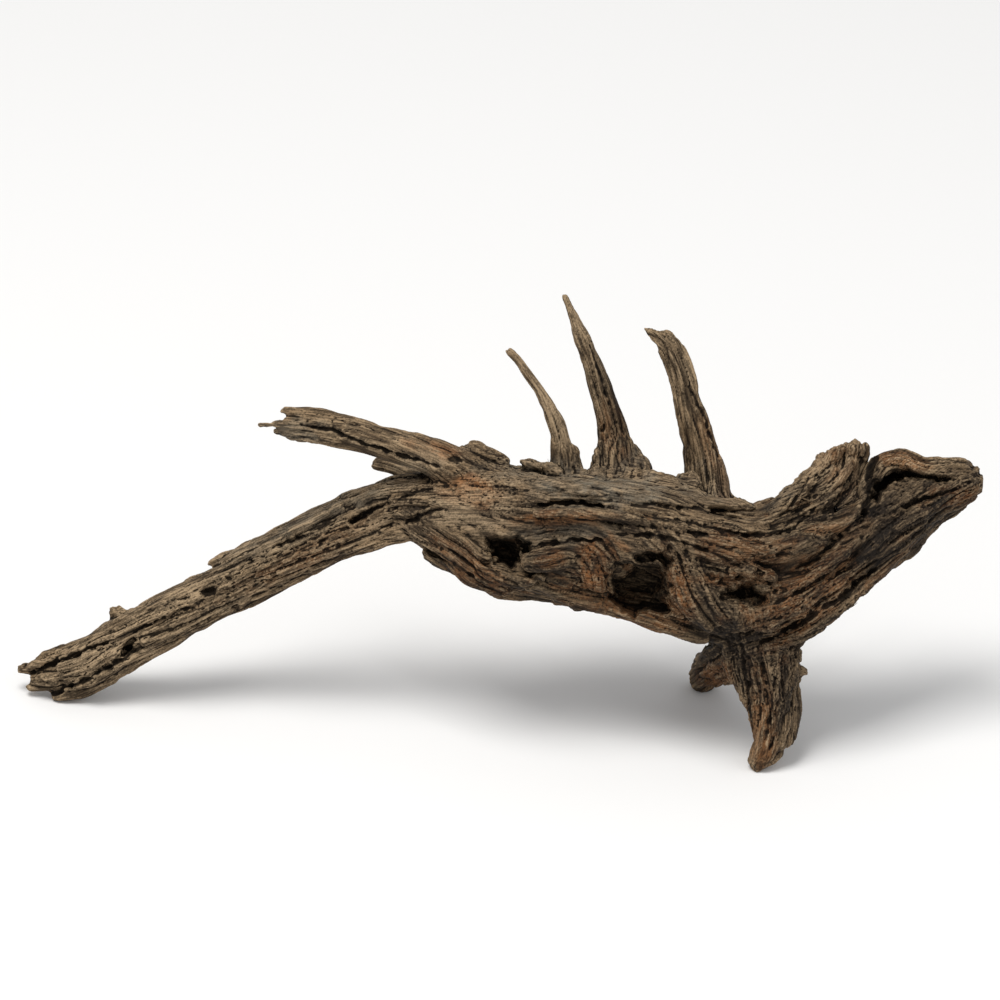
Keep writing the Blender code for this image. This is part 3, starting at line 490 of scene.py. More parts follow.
def pit_distance(points, seed):
    """Distance from each point to the nearest of one scattered seed per cell."""
    floor = np.floor(points)
    inside = (points - floor).astype(np.float32)
    cell = floor.astype(np.int64)
    best = np.full(len(points), 9, np.float32)
    for corner in np.ndindex(3, 3, 3):
        step = np.array(corner) - 1
        bits = scrambled((cell + step).astype(np.uint32), seed)
        gap = (step[0] + unit(bits, 0) - inside[:, 0]) ** 2
        gap += (step[1] + unit(bits, 10) - inside[:, 1]) ** 2
        gap += (step[2] + unit(bits, 20) - inside[:, 2]) ** 2
        best = np.minimum(best, gap)
    return np.sqrt(best)


def smooth_line(stations, step=3.0):
    """A smooth curve through (across, up, depth, reach) stations, as (across, depth, up, reach)."""
    given = np.array(stations, float)[:, (0, 2, 1, 3)]
    line = []
    for index in range(len(given) - 1):
        before, start = given[max(index - 1, 0)], given[index]
        end, after = given[index + 1], given[min(index + 2, len(given) - 1)]
        count = max(2, round(float(np.linalg.norm(end[:3] - start[:3])) / step))
        for t in np.arange(count) / count:
            curve = 2 * start + (end - before) * t
            curve = curve + (2 * before - 5 * start + 4 * end - after) * t ** 2
            curve = curve + (3 * start - before - 3 * end + after) * t ** 3
            line.append(curve / 2)
    line.append(given[-1])
    return np.array(line, np.float32)


def runs_along(places):
    """How far along a path each of its places lies."""
    return np.concatenate(([0], np.cumsum(np.linalg.norm(np.diff(places, axis=0), axis=1))))


def line_axes(line):
    """A line's directions ahead, across and behind, at each of its places."""
    ahead = unit_rows(np.gradient(line[:, :3], axis=0))
    wide = unit_rows(np.cross(ahead, BEHIND))
    return ahead, wide, np.cross(wide, ahead)


def beside_line(points, line):
    """Where points lie by a line: squared share of its reach, run along it, offsets, and its direction."""
    ahead, wide, deep = line_axes(line)
    runs = runs_along(line[:, :3])
    best = np.full(len(points), 1e9, np.float32)
    piece = np.zeros(len(points), int)
    part = np.zeros(len(points), np.float32)
    for index in range(len(line) - 1):
        start, step = line[index, :3], line[index + 1, :3] - line[index, :3]
        offset = points - start
        t = np.clip(offset @ step / float(step @ step), 0, 1)
        gap = offset - t[:, None] * step
        reach = line[index, 3] + t * (line[index + 1, 3] - line[index, 3])
        share = (gap * gap).sum(1) / reach ** 2
        nearer = share < best
        best[nearer] = share[nearer]
        piece[nearer] = index
        part[nearer] = t[nearer]

    def between(values):
        t = part if values.ndim == 1 else part[:, None]
        return values[piece] * (1 - t) + values[piece + 1] * t

    gap = points - between(line[:, :3])
    tangent = unit_rows(between(ahead))
    run = between(runs) + (gap * tangent).sum(1)
    beside = (gap * between(wide)).sum(1)
    behind = (gap * between(deep)).sum(1)
    return best, run, beside, behind, tangent


def place_in_grain(points):
    """For each grain line, the points that it shapes: their numbers, weights, and places in the grain."""
    found = []
    waver = np.stack([clouded(points, layers) for layers in WAVERS], axis=1)
    total = np.full(len(points), 1e-12, np.float32)
    for number, stations in enumerate(GRAIN_LINES.values()):
        line = smooth_line(stations)
        low, high = line[:, :3].min(0) - LINE_MARGIN, line[:, :3].max(0) + LINE_MARGIN
        inside = np.flatnonzero(((points > low) & (points < high)).all(1))
        if not len(inside):
            continue
        share, run, beside, behind, tangent = beside_line(points[inside], line)
        weight = (LINE_CORE + share) ** LINE_FALL
        total[inside] += weight
        run = run + WAVER_ALONG * waver[inside, 0]
        beside = beside + WAVER_BESIDE * waver[inside, 1]
        behind = GRAIN_DEPTH * behind + WAVER_BEHIND * waver[inside, 2]
        turn = run * GRAIN_TWIST + number
        place = np.stack((run + LINES_APART * number, beside * np.cos(turn) - behind * np.sin(turn),
                          beside * np.sin(turn) + behind * np.cos(turn)), axis=1).astype(np.float32)
        found.append((inside, weight, place, tangent))
    kept = []
    left = np.zeros(len(points), np.float32)
    for inside, weight, place, tangent in found:
        share = weight / total[inside]
        strong = share > FAINT_SHARE
        kept.append([inside[strong], share[strong], place[strong], tangent[strong]])
        left[inside[strong]] += share[strong]
    for group in kept:
        group[1] = group[1] / left[group[0]]
    return kept


def layered(groups, count, layer):
    """A layer of the wood, mixed over the grain lines that shape each point."""
    values = np.zeros(count, np.float32)
    for inside, share, place, _ in groups:
        values[inside] += share * layer(place)
    return values


def grain_scale(length, width):
    """What stretches noise along the grain."""
    return np.array((1 / length, 1 / width, 1 / width), np.float32)


def streaks(length, width, seed):
    """A layer of noise that is long along the grain and narrow across it."""
    scale = grain_scale(length, width)
    return lambda place: grain_noise(place * scale, seed)


def ridges(length, width, seed):
    """Rounded strands with narrow valleys between them, from -1 to 1."""
    layer = streaks(length, width, seed)
    steepness, roundness = 2.4, 0.6
    return lambda place: 2 * np.minimum(np.abs(layer(place)) * steepness, 1) ** roundness - 1


def checks(length, width, seed, half):
    """Drying cracks: 1 along narrow lines that follow the grain, 0 elsewhere."""
    layer = streaks(length, width, seed)
    where = streaks(length * 0.7, width * 2.4, seed + 50)
    return lambda place: (1 - ease(0, half, np.abs(layer(place)))) * ease(0.0, 0.3, where(place))


def ledges(length, width, levels, seed):
    """Broken layers: treads that end in steep steps, from about -1 to 1."""
    layer = streaks(length, width, seed)
    steep, middle = 0.3, 0.35

    def stepped(place):
        height = layer(place) * levels
        tread = np.floor(height)
        return tread + ease(0.0, steep, height - tread) - height - middle
    return stepped


def pits(length, width, seed):
    """Worm holes and rotted pits: 1 in the middle of each, 0 outside."""
    scale = grain_scale(length, width)
    radius = 0.28
    return lambda place: 1 - ease(radius * 0.4, radius, pit_distance(place * scale, seed))


def read_points(mesh):
    """A mesh's points and their normals."""
    return read_values(mesh.vertices, "co", 3), read_values(mesh.vertex_normals, "vector", 3)


def write_points(mesh, points):
    """Moves a mesh's points."""
    mesh.vertices.foreach_set("co", np.ascontiguousarray(points, np.float32).ravel())
    mesh.update()


def edge_ends(mesh):
    """The two ends of each edge."""
    return read_values(mesh.edges, "vertices", 2, np.int32)


def averaged(values, ends):
    """The mean of each point's neighbours."""
    count = np.bincount(ends.ravel(), minlength=len(values)).astype(np.float32)
    columns = []
    for column in values.reshape(len(values), -1).T:
        summed = np.bincount(ends[:, 0], column[ends[:, 1]], len(values))
        summed += np.bincount(ends[:, 1], column[ends[:, 0]], len(values))
        columns.append((summed / np.maximum(count, 1)).astype(np.float32))
    return np.stack(columns, axis=1).reshape(values.shape)


def softened(points, ends, rounds):
    """Points smoothed without shrinking."""
    shrink, swell = 0.5, 0.52
    for _ in range(rounds):
        points = points + shrink * (averaged(points, ends) - points)
        points = points - swell * (averaged(points, ends) - points)
    return points


def remeshed(mesh, voxel):
    """The mesh as one closed skin of even squares."""
    made = bpy.data.objects.new("skin", mesh)
    bpy.context.scene.collection.objects.link(made)
    step = made.modifiers.new("skin", "REMESH")
    step.mode = "VOXEL"
    step.voxel_size = voxel
    graph = bpy.context.evaluated_depsgraph_get()
    skin = bpy.data.meshes.new_from_object(made.evaluated_get(graph))
    bpy.data.objects.remove(made)
    return skin


def grow_on(shape, stations):
    """Adds a tapering closed form through the stations to a bmesh."""
    sides, step = 10, 1.6
    rows = [(across, up, depth, max(wide, deep)) for across, up, depth, wide, deep in stations]
    line = smooth_line(rows, step)
    sizes = np.array([station[3:] for station in stations], float)
    knots = np.array([station[:3] for station in stations], float)[:, (0, 2, 1)]
    runs, knot_runs = runs_along(line[:, :3]), runs_along(knots)
    knot_runs *= runs[-1] / knot_runs[-1]
    _, wide, deep = line_axes(line)
    angles = 2 * math.pi * np.arange(sides) / sides
    rings = []
    for index, run in enumerate(runs):
        half_wide = np.interp(run, knot_runs, sizes[:, 0])
        half_deep = np.interp(run, knot_runs, sizes[:, 1])
        ring = line[index, :3] + np.outer(np.cos(angles) * half_wide, wide[index]) \
            + np.outer(np.sin(angles) * half_deep, deep[index])
        rings.append([shape.verts.new(place) for place in off_sheet(ring.astype(np.float32)).tolist()])
    for ring, following in zip(rings, rings[1:]):
        for side in range(sides):
            beside = (side + 1) % sides
            shape.faces.new((ring[side], ring[beside], following[beside], following[side]))
    shape.faces.new(rings[0][::-1])
    shape.faces.new(rings[-1])


def with_small_forms(skin):
    """The skin with the small forms grown onto it, not yet joined."""
    shape = bmesh.new()
    for stations in GROWN_ON.values():
        grow_on(shape, stations)
    bmesh.ops.recalc_face_normals(shape, faces=shape.faces)
    shape.from_mesh(skin)
    mesh = bpy.data.meshes.new("skin_and_forms")
    shape.to_mesh(mesh)
    shape.free()
    return mesh


def joined_solids(swell):
    """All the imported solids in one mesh, each swelled a little so that they meet across the forks."""
    merge_distance = 0.002 * MM
    shape = bmesh.new()
    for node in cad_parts.values():
        one = bmesh.new()
        one.from_mesh(node.data)
        bmesh.ops.remove_doubles(one, verts=one.verts, dist=merge_distance)
        one.normal_update()
        moved = [vert.co + vert.normal * swell for vert in one.verts]
        for vert, place in zip(one.verts, moved):
            vert.co = place
        mesh = bpy.data.meshes.new("solid")
        one.to_mesh(mesh)
        one.free()
        shape.from_mesh(mesh)
        bpy.data.meshes.remove(mesh)
    mesh = bpy.data.meshes.new("solids")
    shape.to_mesh(mesh)
    shape.free()
    return mesh


def out_from_oval(flat, across, up, length, width, turn):
    """How far out points lie from the middle of a turned oval: 1 on its edge."""
    angle = math.radians(turn)
    right, high = flat[:, 0] - across, flat[:, 1] - up
    along = (right * math.cos(angle) + high * math.sin(angle)) / length
    beside = (high * math.cos(angle) - right * math.sin(angle)) / width
    return np.sqrt(along ** 2 + beside ** 2)


def patched(sheet, patches, ragged):
    """How strongly a point lies in any of the patches, with ragged edges."""
    strength = np.zeros(len(sheet), np.float32)
    for *oval, most in patches:
        out = out_from_oval(sheet[:, (0, 2)], *oval) + 0.45 * ragged
        strength = np.maximum(strength, most * (1 - ease(*PATCH_RIM, out)))
    return strength


def stroke_distance(flat, path):
    """Distance in the sheet from each point to a path, and how far along the path it is, from 0 to 1."""
    best = np.full(len(flat), 1e9, np.float32)
    along = np.zeros(len(flat), np.float32)
    path = np.array(path, np.float32)
    lengths = np.linalg.norm(np.diff(path, axis=0), axis=1)
    runs = np.concatenate(([0], np.cumsum(lengths))) / lengths.sum()
    for index in range(len(path) - 1):
        start, step = path[index], path[index + 1] - path[index]
        t = np.clip((flat - start) @ step / float(step @ step), 0, 1)
        gap = flat - start - t[:, None] * step
        distance = np.sqrt((gap * gap).sum(1))
        nearer = distance < best
        best[nearer] = distance[nearer]
        along[nearer] = (runs[index] + t * (runs[index + 1] - runs[index]))[nearer]
    return best, along


def stroked(sheet, facing, wander, strokes, broken=None, reach=1.0):
    """The height of the listed strokes: half width, height and path each, tapered at both ends."""
    tip = 0.35              # share of the width that is left at the ends
    rim = 1.6               # where a stroke ends, in half widths
    height = np.zeros(len(sheet), np.float32)
    flat = sheet[:, (0, 2)] + wander
    for half, size, path in strokes:
        corners = np.array(path)
        low, high = corners.min(0) - 3 * half, corners.max(0) + 3 * half
        near = np.flatnonzero(((flat > low) & (flat < high)).all(1) & (facing > EDGE_ON))
        distance, along = stroke_distance(flat[near], path)
        taper = tip + (1 - tip) * np.sqrt(np.clip(4 * along * (1 - along), 0, 1))
        width = half * reach * (1.0 if broken is None else broken[near]) * taper
        shape = 1 - ease(0, 1, distance / (rim * width))
        height[near] = np.maximum(height[near], size * shape * ease(EDGE_ON, 0.4, facing[near]))
    return height


def holed(sheet, facing, wander):
    """The depth of the worm holes."""
    depth = np.zeros(len(sheet), np.float32)
    for *oval, deep in WORM_HOLES:
        out = out_from_oval(sheet[:, (0, 2)] + wander, *oval)
        depth = np.maximum(depth, deep * (1 - ease(*HOLE_RIM, out)) * (facing > EDGE_ON))
    return depth


def lumped(sheet, ragged):
    """The height of the lumps of bark and burl."""
    height = np.zeros(len(sheet), np.float32)
    for (across, up, depth), radius, size in BARK_LUMPS:
        out = np.linalg.norm(sheet - np.array((across, depth, up), np.float32), axis=1) / radius
        height = np.maximum(height, size * (1 - ease(*LUMP_RIM, out + 0.25 * ragged)))
    return height


def in_hollows(sheet, facing, wander):
    """How far the hollows are cut in, in millimetres, and how dark their painted shade is."""
    flat = sheet[:, (0, 2)] + wander
    depth = np.zeros(len(sheet), np.float32)
    dark = np.zeros(len(sheet), np.float32)
    for most, rim, darkness, outline in HOLLOWS.values():
        corners = np.array(outline, np.float32)
        low, high = corners.min(0) - 1, corners.max(0) + 1
        near = np.flatnonzero(((flat > low) & (flat < high)).all(1) & (facing > 0.0))
        distance, _ = stroke_distance(flat[near], outline + outline[:1])
        crossings = np.zeros(len(near), int)
        for one, other in zip(corners, np.roll(corners, -1, axis=0)):
            between = (flat[near, 1] < one[1]) != (flat[near, 1] < other[1])
            reach = (flat[near, 1] - one[1]) / (other[1] - one[1] or 1e-9)
            crossings += between & (flat[near, 0] < one[0] + reach * (other[0] - one[0]))
        within = np.where(crossings % 2 == 1, distance, 0)
        depth[near] = np.maximum(depth[near], most * ease(0, rim, within))
        dark[near] = np.maximum(dark[near], darkness * ease(0.2, 1.3 * rim, within))
    return depth, dark


def turned_to_sheet(normals):
    """Normals as the sheet has them."""
    depth = normals[:, 1] * math.cos(LEAN) - normals[:, 2] * math.sin(LEAN)
    up = normals[:, 1] * math.sin(LEAN) + normals[:, 2] * math.cos(LEAN)
    return np.stack((normals[:, 0], depth, up), axis=1)


def surveyed(points, normals):
    """What the carving needs to know of each point."""
    sheet = on_sheet(points)
    ragged = clouded(sheet, PATCH_EDGES)
    smooth = patched(sheet, SMOOTH_PATCHES, ragged)
    rough = 0.3 + patched(sheet, ROUGH_PATCHES, ragged)
    thick = np.ones(len(sheet), np.float32)
    for name in THIN_LINES:
        share = beside_line(sheet, smooth_line(GRAIN_LINES[name], 8.0))[0]
        thick = np.minimum(thick, THIN_SHARE + (1 - THIN_SHARE) * ease(*THIN_REACH, share))
    return {"sheet": sheet, "facing": turned_to_sheet(normals) @ TOWARDS_VIEWER, "ragged": ragged,
            "wobble": np.stack([clouded(sheet, layers) for layers in WOBBLES], axis=1),
            "rough": np.clip(rough * (1 - 0.7 * smooth), 0, 1), "smooth": smooth, "thick": thick,
            "breaks": np.clip(0.8 + clouded(sheet, BREAKS), 0.15, 1.3), "groups": place_in_grain(sheet)}


def within_box(points):
    """Points eased back inside the solids' box, where they come near its sides; soles stay on the floor."""
    low, high = np.array(CAD_BOX[0], np.float32), np.array(CAD_BOX[1], np.float32)

    def eased(over):
        return np.where(over > 0, over - BOX_KNEE * (1 - np.exp(-np.maximum(over, 0) / BOX_KNEE)), 0)

    for axis in range(3):
        points[:, axis] -= eased(points[:, axis] - (high[axis] - BOX_EDGE - BOX_KNEE))
        if axis < 2:
            points[:, axis] += eased(low[axis] + BOX_EDGE + BOX_KNEE - points[:, axis])
    points[:, 2] = np.maximum(points[:, 2], low[2])
    return points.astype(np.float32)


def moved_by(points, normals, height, push=None):
    """Points moved along their normals and pushed back from the viewer, in millimetres, in the box."""
    low_share = ease(*SOLE, points[:, 2] / MM)
    height = np.where(height > 0, height, height * low_share) * (SOLE_SHARE + (1 - SOLE_SHARE) * low_share)
    points = points + normals * (height * MM)[:, None]
    if push is not None:
        into = np.array((0, math.cos(LEAN), -math.sin(LEAN)), np.float32)
        points = points + into * (push * low_share * MM)[:, None]
    return within_box(points)


def carve_forms(skin, sizes):
    """The larger forms: bundles of strands, broken ledges, and the listed cracks, ridges and holes."""
    points, normals = read_points(skin)
    known = surveyed(points, normals)
    count, groups, sheet = len(points), known["groups"], known["sheet"]
    rough, thick, calm = known["rough"], known["thick"], 1 - 0.55 * known["smooth"]
    seen = (sheet, known["facing"], known["wobble"])
    height = sizes.bundle_height * layered(groups, count, ridges(*THICK_STRANDS)) * calm * thick
    height += MIDDLE_SHARE * sizes.bundle_height * layered(groups, count, ridges(*MIDDLE_STRANDS)) * calm
    height += sizes.ledge_height * layered(groups, count, ledges(*LEDGES)) * rough * thick
    lumps = clouded(sheet, LUMPS)
    height += sizes.lump_height * lumps * np.maximum(rough - 0.25, 0) * (0.2 + 0.8 * thick)
    height -= LONG_CHECK_DEPTH * layered(groups, count, checks(*LONG_CHECKS)) * thick * calm
    height -= SHORT_CHECK_DEPTH * layered(groups, count, checks(*SHORT_CHECKS)) * calm
    height += stroked(*seen, RIDGES)
    height += lumped(sheet, known["ragged"])
    height -= sizes.crack_depth * stroked(*seen, CRACKS, known["breaks"])
    push = sizes.crack_depth * holed(*seen)
    push = np.maximum(push, in_hollows(sheet, known["facing"], HOLLOW_WOBBLE * known["wobble"])[0])
    write_points(skin, moved_by(points, normals, height, push))


def painted_shade_wear_and_highlight(skin):
    """Painted shade by how far each point lies in a hollow, edge wear and painted highlight by how far it
    stands out, and its normal.
    """
    carved, normals = read_points(skin)
    ends = edge_ends(skin)
    blurred = carved
    hollows = []
    for rounds, *_ in HOLLOW_SHADE_BREADTHS:
        for _ in range(rounds):
            blurred = 0.5 * blurred + 0.5 * averaged(blurred, ends)
        hollows.append(((blurred - carved) * normals).sum(1) / MM)
    painted_hollow_shade = sum(most * ease(low, high, hollow)
                 for (_, low, high, most), hollow in zip(HOLLOW_SHADE_BREADTHS, hollows))
    wear_and_highlight = sum(most * ease(low, high, -hollow) for (low, high, most), hollow in zip(EDGE_WEAR_AND_HIGHLIGHT, hollows))
    return painted_hollow_shade, wear_and_highlight, normals


def carve_grain(skin, sizes):
    """The fine relief, and the marks that the materials read, with painted shade in cracks and hollows,
    painted highlight on what stands out, and painted light from above.
    """
    points, normals = read_points(skin)
    known = surveyed(points, normals)
    count, groups, sheet, rough = len(points), known["groups"], known["sheet"], known["rough"]
    seen = (sheet, known["facing"], known["wobble"])
    varied = ease(-0.25, 0.35, clouded(sheet, VARIED_CLOUDS))
    strands = layered(groups, count, ridges(*FINE_STRANDS))
    fibres = layered(groups, count, streaks(*FIBRES))
    cracks = layered(groups, count, checks(*FINE_CHECKS)) * (0.3 + 0.7 * varied)
    holes = layered(groups, count, pits(*PITS)) * ease(0.35, 0.8, rough)
    height = sizes.strand_height * strands * (1 - 0.6 * known["smooth"]) * (0.55 + 0.6 * varied)
    height += sizes.fibre_height * fibres
    crumbs = CRUMB_HEIGHT * clouded(sheet, CRUMBS)
    height += crumbs * np.maximum(rough - 0.2, 0) * (0.3 + 0.7 * known["thick"])
    height -= sizes.check_depth * cracks
    height -= PIT_DEPTH * holes
    write_points(skin, moved_by(points, normals, height))
    # Painted shade and highlight: hollows of the skin are darkened and what stands out is lightened
    painted_hollow_shade, wear_and_highlight, normals = painted_shade_wear_and_highlight(skin)
    painted_crack_shade = stroked(*seen, CRACKS, known["breaks"], 1.1) / BLACK_CRACK
    painted_hole_shade = holed(*seen) / BLACK_HOLE
    # Painted shade inside the rotted hollows
    deep = in_hollows(sheet, known["facing"], HOLLOW_WOBBLE * known["wobble"])[1]
    # Painted shade: darker in the hollows, cracks, worm holes, checks and pits, where shade falls
    crevice_shade = np.clip(np.maximum.reduce((painted_hollow_shade, painted_crack_shade, painted_hole_shade, deep, 0.8 * cracks, 0.7 * holes)), 0, 1)
    streak = 0.5 + 0.8 * layered(groups, count, streaks(*LIGHT_STREAKS))
    tone_and_top_light = 0.5 + 0.8 * layered(groups, count, streaks(*BROAD_STREAKS)) + 0.35 * (streak - 0.5)
    # Painted light from above: faces turned up are lighter, faces turned down darker
    tone_and_top_light += 0.3 * (ease(-0.5, 0.8, normals[:, 2]) - 0.6) + clouded(sheet, TONE_CLOUDS)
    fray = np.clip(rough - 0.3, 0, 1) * known["thick"] * (1 - deep)
    directions = np.zeros((count, 3), np.float32)
    for inside, share, _, tangent in groups:
        directions[inside] += share[:, None] * tangent
    directions = unit_rows(off_sheet(directions + sheet) - off_sheet(sheet))
    skin.attributes.new("fray", "FLOAT", "POINT").data.foreach_set("value", fray.astype(np.float32))
    skin.attributes.new("grain_run", "FLOAT_VECTOR", "POINT").data.foreach_set("vector", directions.ravel())

    def region(patches):
        return patched(sheet, patches, known["ragged"])

    spots = layered(groups, count, streaks(*DARK_SPOTS)) + clouded(sheet, DARK_CLOUDS)
    stained = region(STAIN_PATCHES)
    stained = np.maximum(stained, 0.85 * ease(0.12, 0.5, spots + 0.45 * (stained - 0.35)) * (0.35 + stained))
    flecks = layered(groups, count, streaks(*RUST_FLECKS)) + clouded(sheet, RUST_CLOUDS)
    rust = np.maximum(region(RUST_PATCHES), 0.85 * ease(0.14, 0.44, flecks) * region(BROAD_STAINS))
    stained *= 1 - 0.6 * ease(0.1, 0.42, flecks) * (1 - stained)
    marks = {
        "wood_marks_and_painted_light": (tone_and_top_light, crevice_shade, np.clip(wear_and_highlight, 0, 1), streak),
        "wood_stains": (rust, stained, region(PALE_PATCHES), region(GREY_PATCHES)),
    }
    for name, columns in marks.items():
        layer = skin.attributes.new(name, "FLOAT_COLOR", "POINT")
        values = np.clip(np.stack(columns, axis=1), 0, 1).astype(np.float32)
        layer.data.foreach_set("color", values.ravel())


def grow_skin(sizes):
    """Makes the whole root as one carved skin."""
    swell = sizes.fork_swell * MM
    smoothing_rounds = 7
    skin = remeshed(joined_solids(swell), sizes.join_voxel)
    points, _ = read_points(skin)
    write_points(skin, softened(points, edge_ends(skin), smoothing_rounds))
    points, normals = read_points(skin)
    write_points(skin, points - normals * swell)
    skin = remeshed(with_small_forms(skin), sizes.form_voxel)
    carve_forms(skin, sizes)
    skin = remeshed(skin, sizes.skin_voxel)
    carve_grain(skin, sizes)
    skin.name = WHOLE
    skin.use_fake_user = True


def nearest_nodes(skin):
    """For each face of the skin, the number of the piece that it belongs to, and the pieces' names."""
    places, faces, owner = [], [], []
    names = sorted(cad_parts)
    for number, name in enumerate(names):
        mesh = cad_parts[name].data
        first = len(places)
        places += [vert.co for vert in mesh.vertices]
        faces += [tuple(first + v for v in face.vertices) for face in mesh.polygons]
        owner += [number] * len(mesh.polygons)
    tree = BVHTree.FromPolygons(places, faces)
    centres = read_values(skin.polygons, "center", 3)
    labels = np.array([owner[tree.find_nearest(Vector(centre))[2]] for centre in centres])
    in_trunk = labels == names.index("trunk")
    for number, cut in enumerate(TRUNK_CUTS):
        labels[in_trunk & (centres[:, 0] > cut)] = len(names) + number
    return labels, names + list(TRUNK_PARTS[1:])


def face_pairs(skin):
    """The two faces beside each edge."""
    corners = read_values(skin.loops, "edge_index", kind=np.int32)
    size = read_values(skin.polygons, "loop_total", kind=np.int32)
    owner = np.repeat(np.arange(len(skin.polygons)), size)
    order = np.argsort(corners, kind="stable")
    edges, faces = corners[order], owner[order]
    same = edges[1:] == edges[:-1]
    return faces[:-1][same], faces[1:][same]


def tidied_labels(labels, one, other, kinds):
    """Labels with smooth borders and no islands."""
    count = len(labels)
    smoothing_rounds = 6
    for _ in range(smoothing_rounds):
        votes = np.bincount(one * kinds + labels[other], minlength=count * kinds)
        votes += np.bincount(other * kinds + labels[one], minlength=count * kinds)
        votes = votes.reshape(count, kinds)
        votes[np.arange(count), labels] += 1
        labels = votes.argmax(1)
    island = np.arange(count)
    same = labels[one] == labels[other]
    left, right = one[same], other[same]
    while True:
        before = island.copy()
        least = np.minimum(island[left], island[right])
        np.minimum.at(island, island[left], least)
        np.minimum.at(island, island[right], least)
        island = island[island]
        if (island == before).all():
            break
    sizes = np.bincount(island, minlength=count)
    for kind in range(kinds):
        mine = np.flatnonzero(labels == kind)
        if len(mine):
            main_island = island[mine[np.argmax(sizes[island[mine]])]]
            labels[mine[island[mine] != main_island]] = -1
    left_over = 1
    while left_over:
        left_over = 0
        for here, there in ((one, other), (other, one)):
            open_faces = (labels[here] < 0) & (labels[there] >= 0)
            labels[here[open_faces]] = labels[there[open_faces]]
            left_over += int(open_faces.sum())
    return labels


def border_loops(faces):
    """The borders of a patch of faces, each as a ring of points in the faces' own direction."""
    starts = faces.ravel()
    stops = np.roll(faces, -1, axis=1).ravel()
    real = starts != stops
    starts, stops = starts[real].astype(np.int64), stops[real].astype(np.int64)
    span = int(max(starts.max(), stops.max())) + 1
    forward, backward = starts * span + stops, stops * span + starts
    lone = ~np.isin(forward, backward)
    after = {}
    for start, stop in zip(starts[lone].tolist(), stops[lone].tolist()):
        after.setdefault(start, []).append(stop)
    loops = []
    while after:
        first = next(iter(after))
        ring, place = [], first
        while place in after:
            ring.append(place)
            following = after[place].pop()
            if not after[place]:
                del after[place]
            place = following
        loops.append(ring)
    return loops


def own_grain(points, line_names):
    """Where points lie along and across the lines of their own piece, in metres."""
    lines = [smooth_line(GRAIN_LINES[name], 6.0) for name in line_names]
    found = [beside_line(points, line)[:4] for line in lines]
    nearest = np.argmin(np.stack([share for share, _, _, _ in found]), axis=0)
    result = np.zeros((len(points), 3), np.float32)
    for number, (_, run, beside, behind) in enumerate(found):
        mine = nearest == number
        result[mine] = np.stack((run, beside, behind), axis=1)[mine]
    return result * MM


def parted_skin(skin, labels, kind, name, line_names):
    """The piece of the skin with one label, closed where it meets its neighbours."""
    total = read_values(skin.polygons, "loop_total", kind=np.int32)
    first = read_values(skin.polygons, "loop_start", kind=np.int32)
    corners = read_values(skin.loops, "vertex_index", kind=np.int32)
    mine = np.flatnonzero(labels == kind)
    quads = np.stack([corners[first[mine] + np.minimum(k, total[mine] - 1)] for k in range(4)], axis=1)
    used, renumbered = np.unique(quads, return_inverse=True)
    quads = renumbered.reshape(-1, 4)
    points, normals = read_points(skin)
    points, normals = points[used], normals[used]
    caps = []
    middles, outs = [], []
    for ring in border_loops(quads):
        centre = len(used) + len(middles)
        middles.append(points[ring].mean(0))
        outs.append(normals[ring].mean(0))
        caps += [(after, here, centre) for here, after in zip(ring, ring[1:] + ring[:1])]
    if middles:
        points = np.vstack((points, middles))
        normals = np.vstack((normals, outs))
    faces = [tuple(face) if face[2] != face[3] else tuple(face[:3]) for face in quads.tolist()]
    mesh = bpy.data.meshes.new(name)
    mesh.from_pydata(points.tolist(), [], faces + caps)
    mesh.shade_smooth()
    mesh.normals_split_custom_set_from_vertices(unit_rows(normals).tolist())
    for layer in ("wood_marks_and_painted_light", "wood_stains"):
        values = read_values(skin.attributes[layer].data, "color", 4)[used]
        # Cap middles, hidden inside, take full painted crevice shade among the marks and full stain among the
        # stains
        dark = np.tile(np.float32((0.3, 1, 0, 0.5)), (len(middles), 1))
        made = mesh.attributes.new(layer, "FLOAT_COLOR", "POINT")
        made.data.foreach_set("color", np.vstack((values, dark)).astype(np.float32).ravel())
    place = mesh.attributes.new("grain_place", "FLOAT_VECTOR", "POINT")
    place.data.foreach_set("vector", own_grain(on_sheet(points), line_names).ravel())
    mesh.validate(verbose=False)
    return mesh


def group_shell(name, inputs, outputs):
    """An empty shader node group with the named sockets; an input is (name, socket kind, default)."""
    group = bpy.data.node_groups.new(name, "ShaderNodeTree")
    for label, kind, default in inputs:
        socket = group.interface.new_socket(label, in_out="INPUT", socket_type=kind)
        if default is not None:
            socket.default_value = default
    for label, kind in outputs:
        group.interface.new_socket(label, in_out="OUTPUT", socket_type=kind)
    return group, group.nodes.new("NodeGroupInput"), group.nodes.new("NodeGroupOutput")


def linked(tree, socket, value):
    """Feeds a socket with another socket, or sets it to a value."""
    if isinstance(value, bpy.types.NodeSocket):
        tree.links.new(value, socket)
    else:
        socket.default_value = value


def calculated(tree, operation, first, second):
    """A math node's result, kept between 0 and 1."""
    node = tree.nodes.new("ShaderNodeMath")
    node.operation = operation
    node.use_clamp = True
    linked(tree, node.inputs[0], first)
    linked(tree, node.inputs[1], second)
    return node.outputs[0]


def spread(tree, value, low, high, start=0.0, stop=1.0):
    """A value eased from one range to another."""
    node = tree.nodes.new("ShaderNodeMapRange")
    node.interpolation_type = "SMOOTHSTEP"
    for socket, given in zip(node.inputs, (value, low, high, start, stop)):
        linked(tree, socket, given)
    return node.outputs[0]


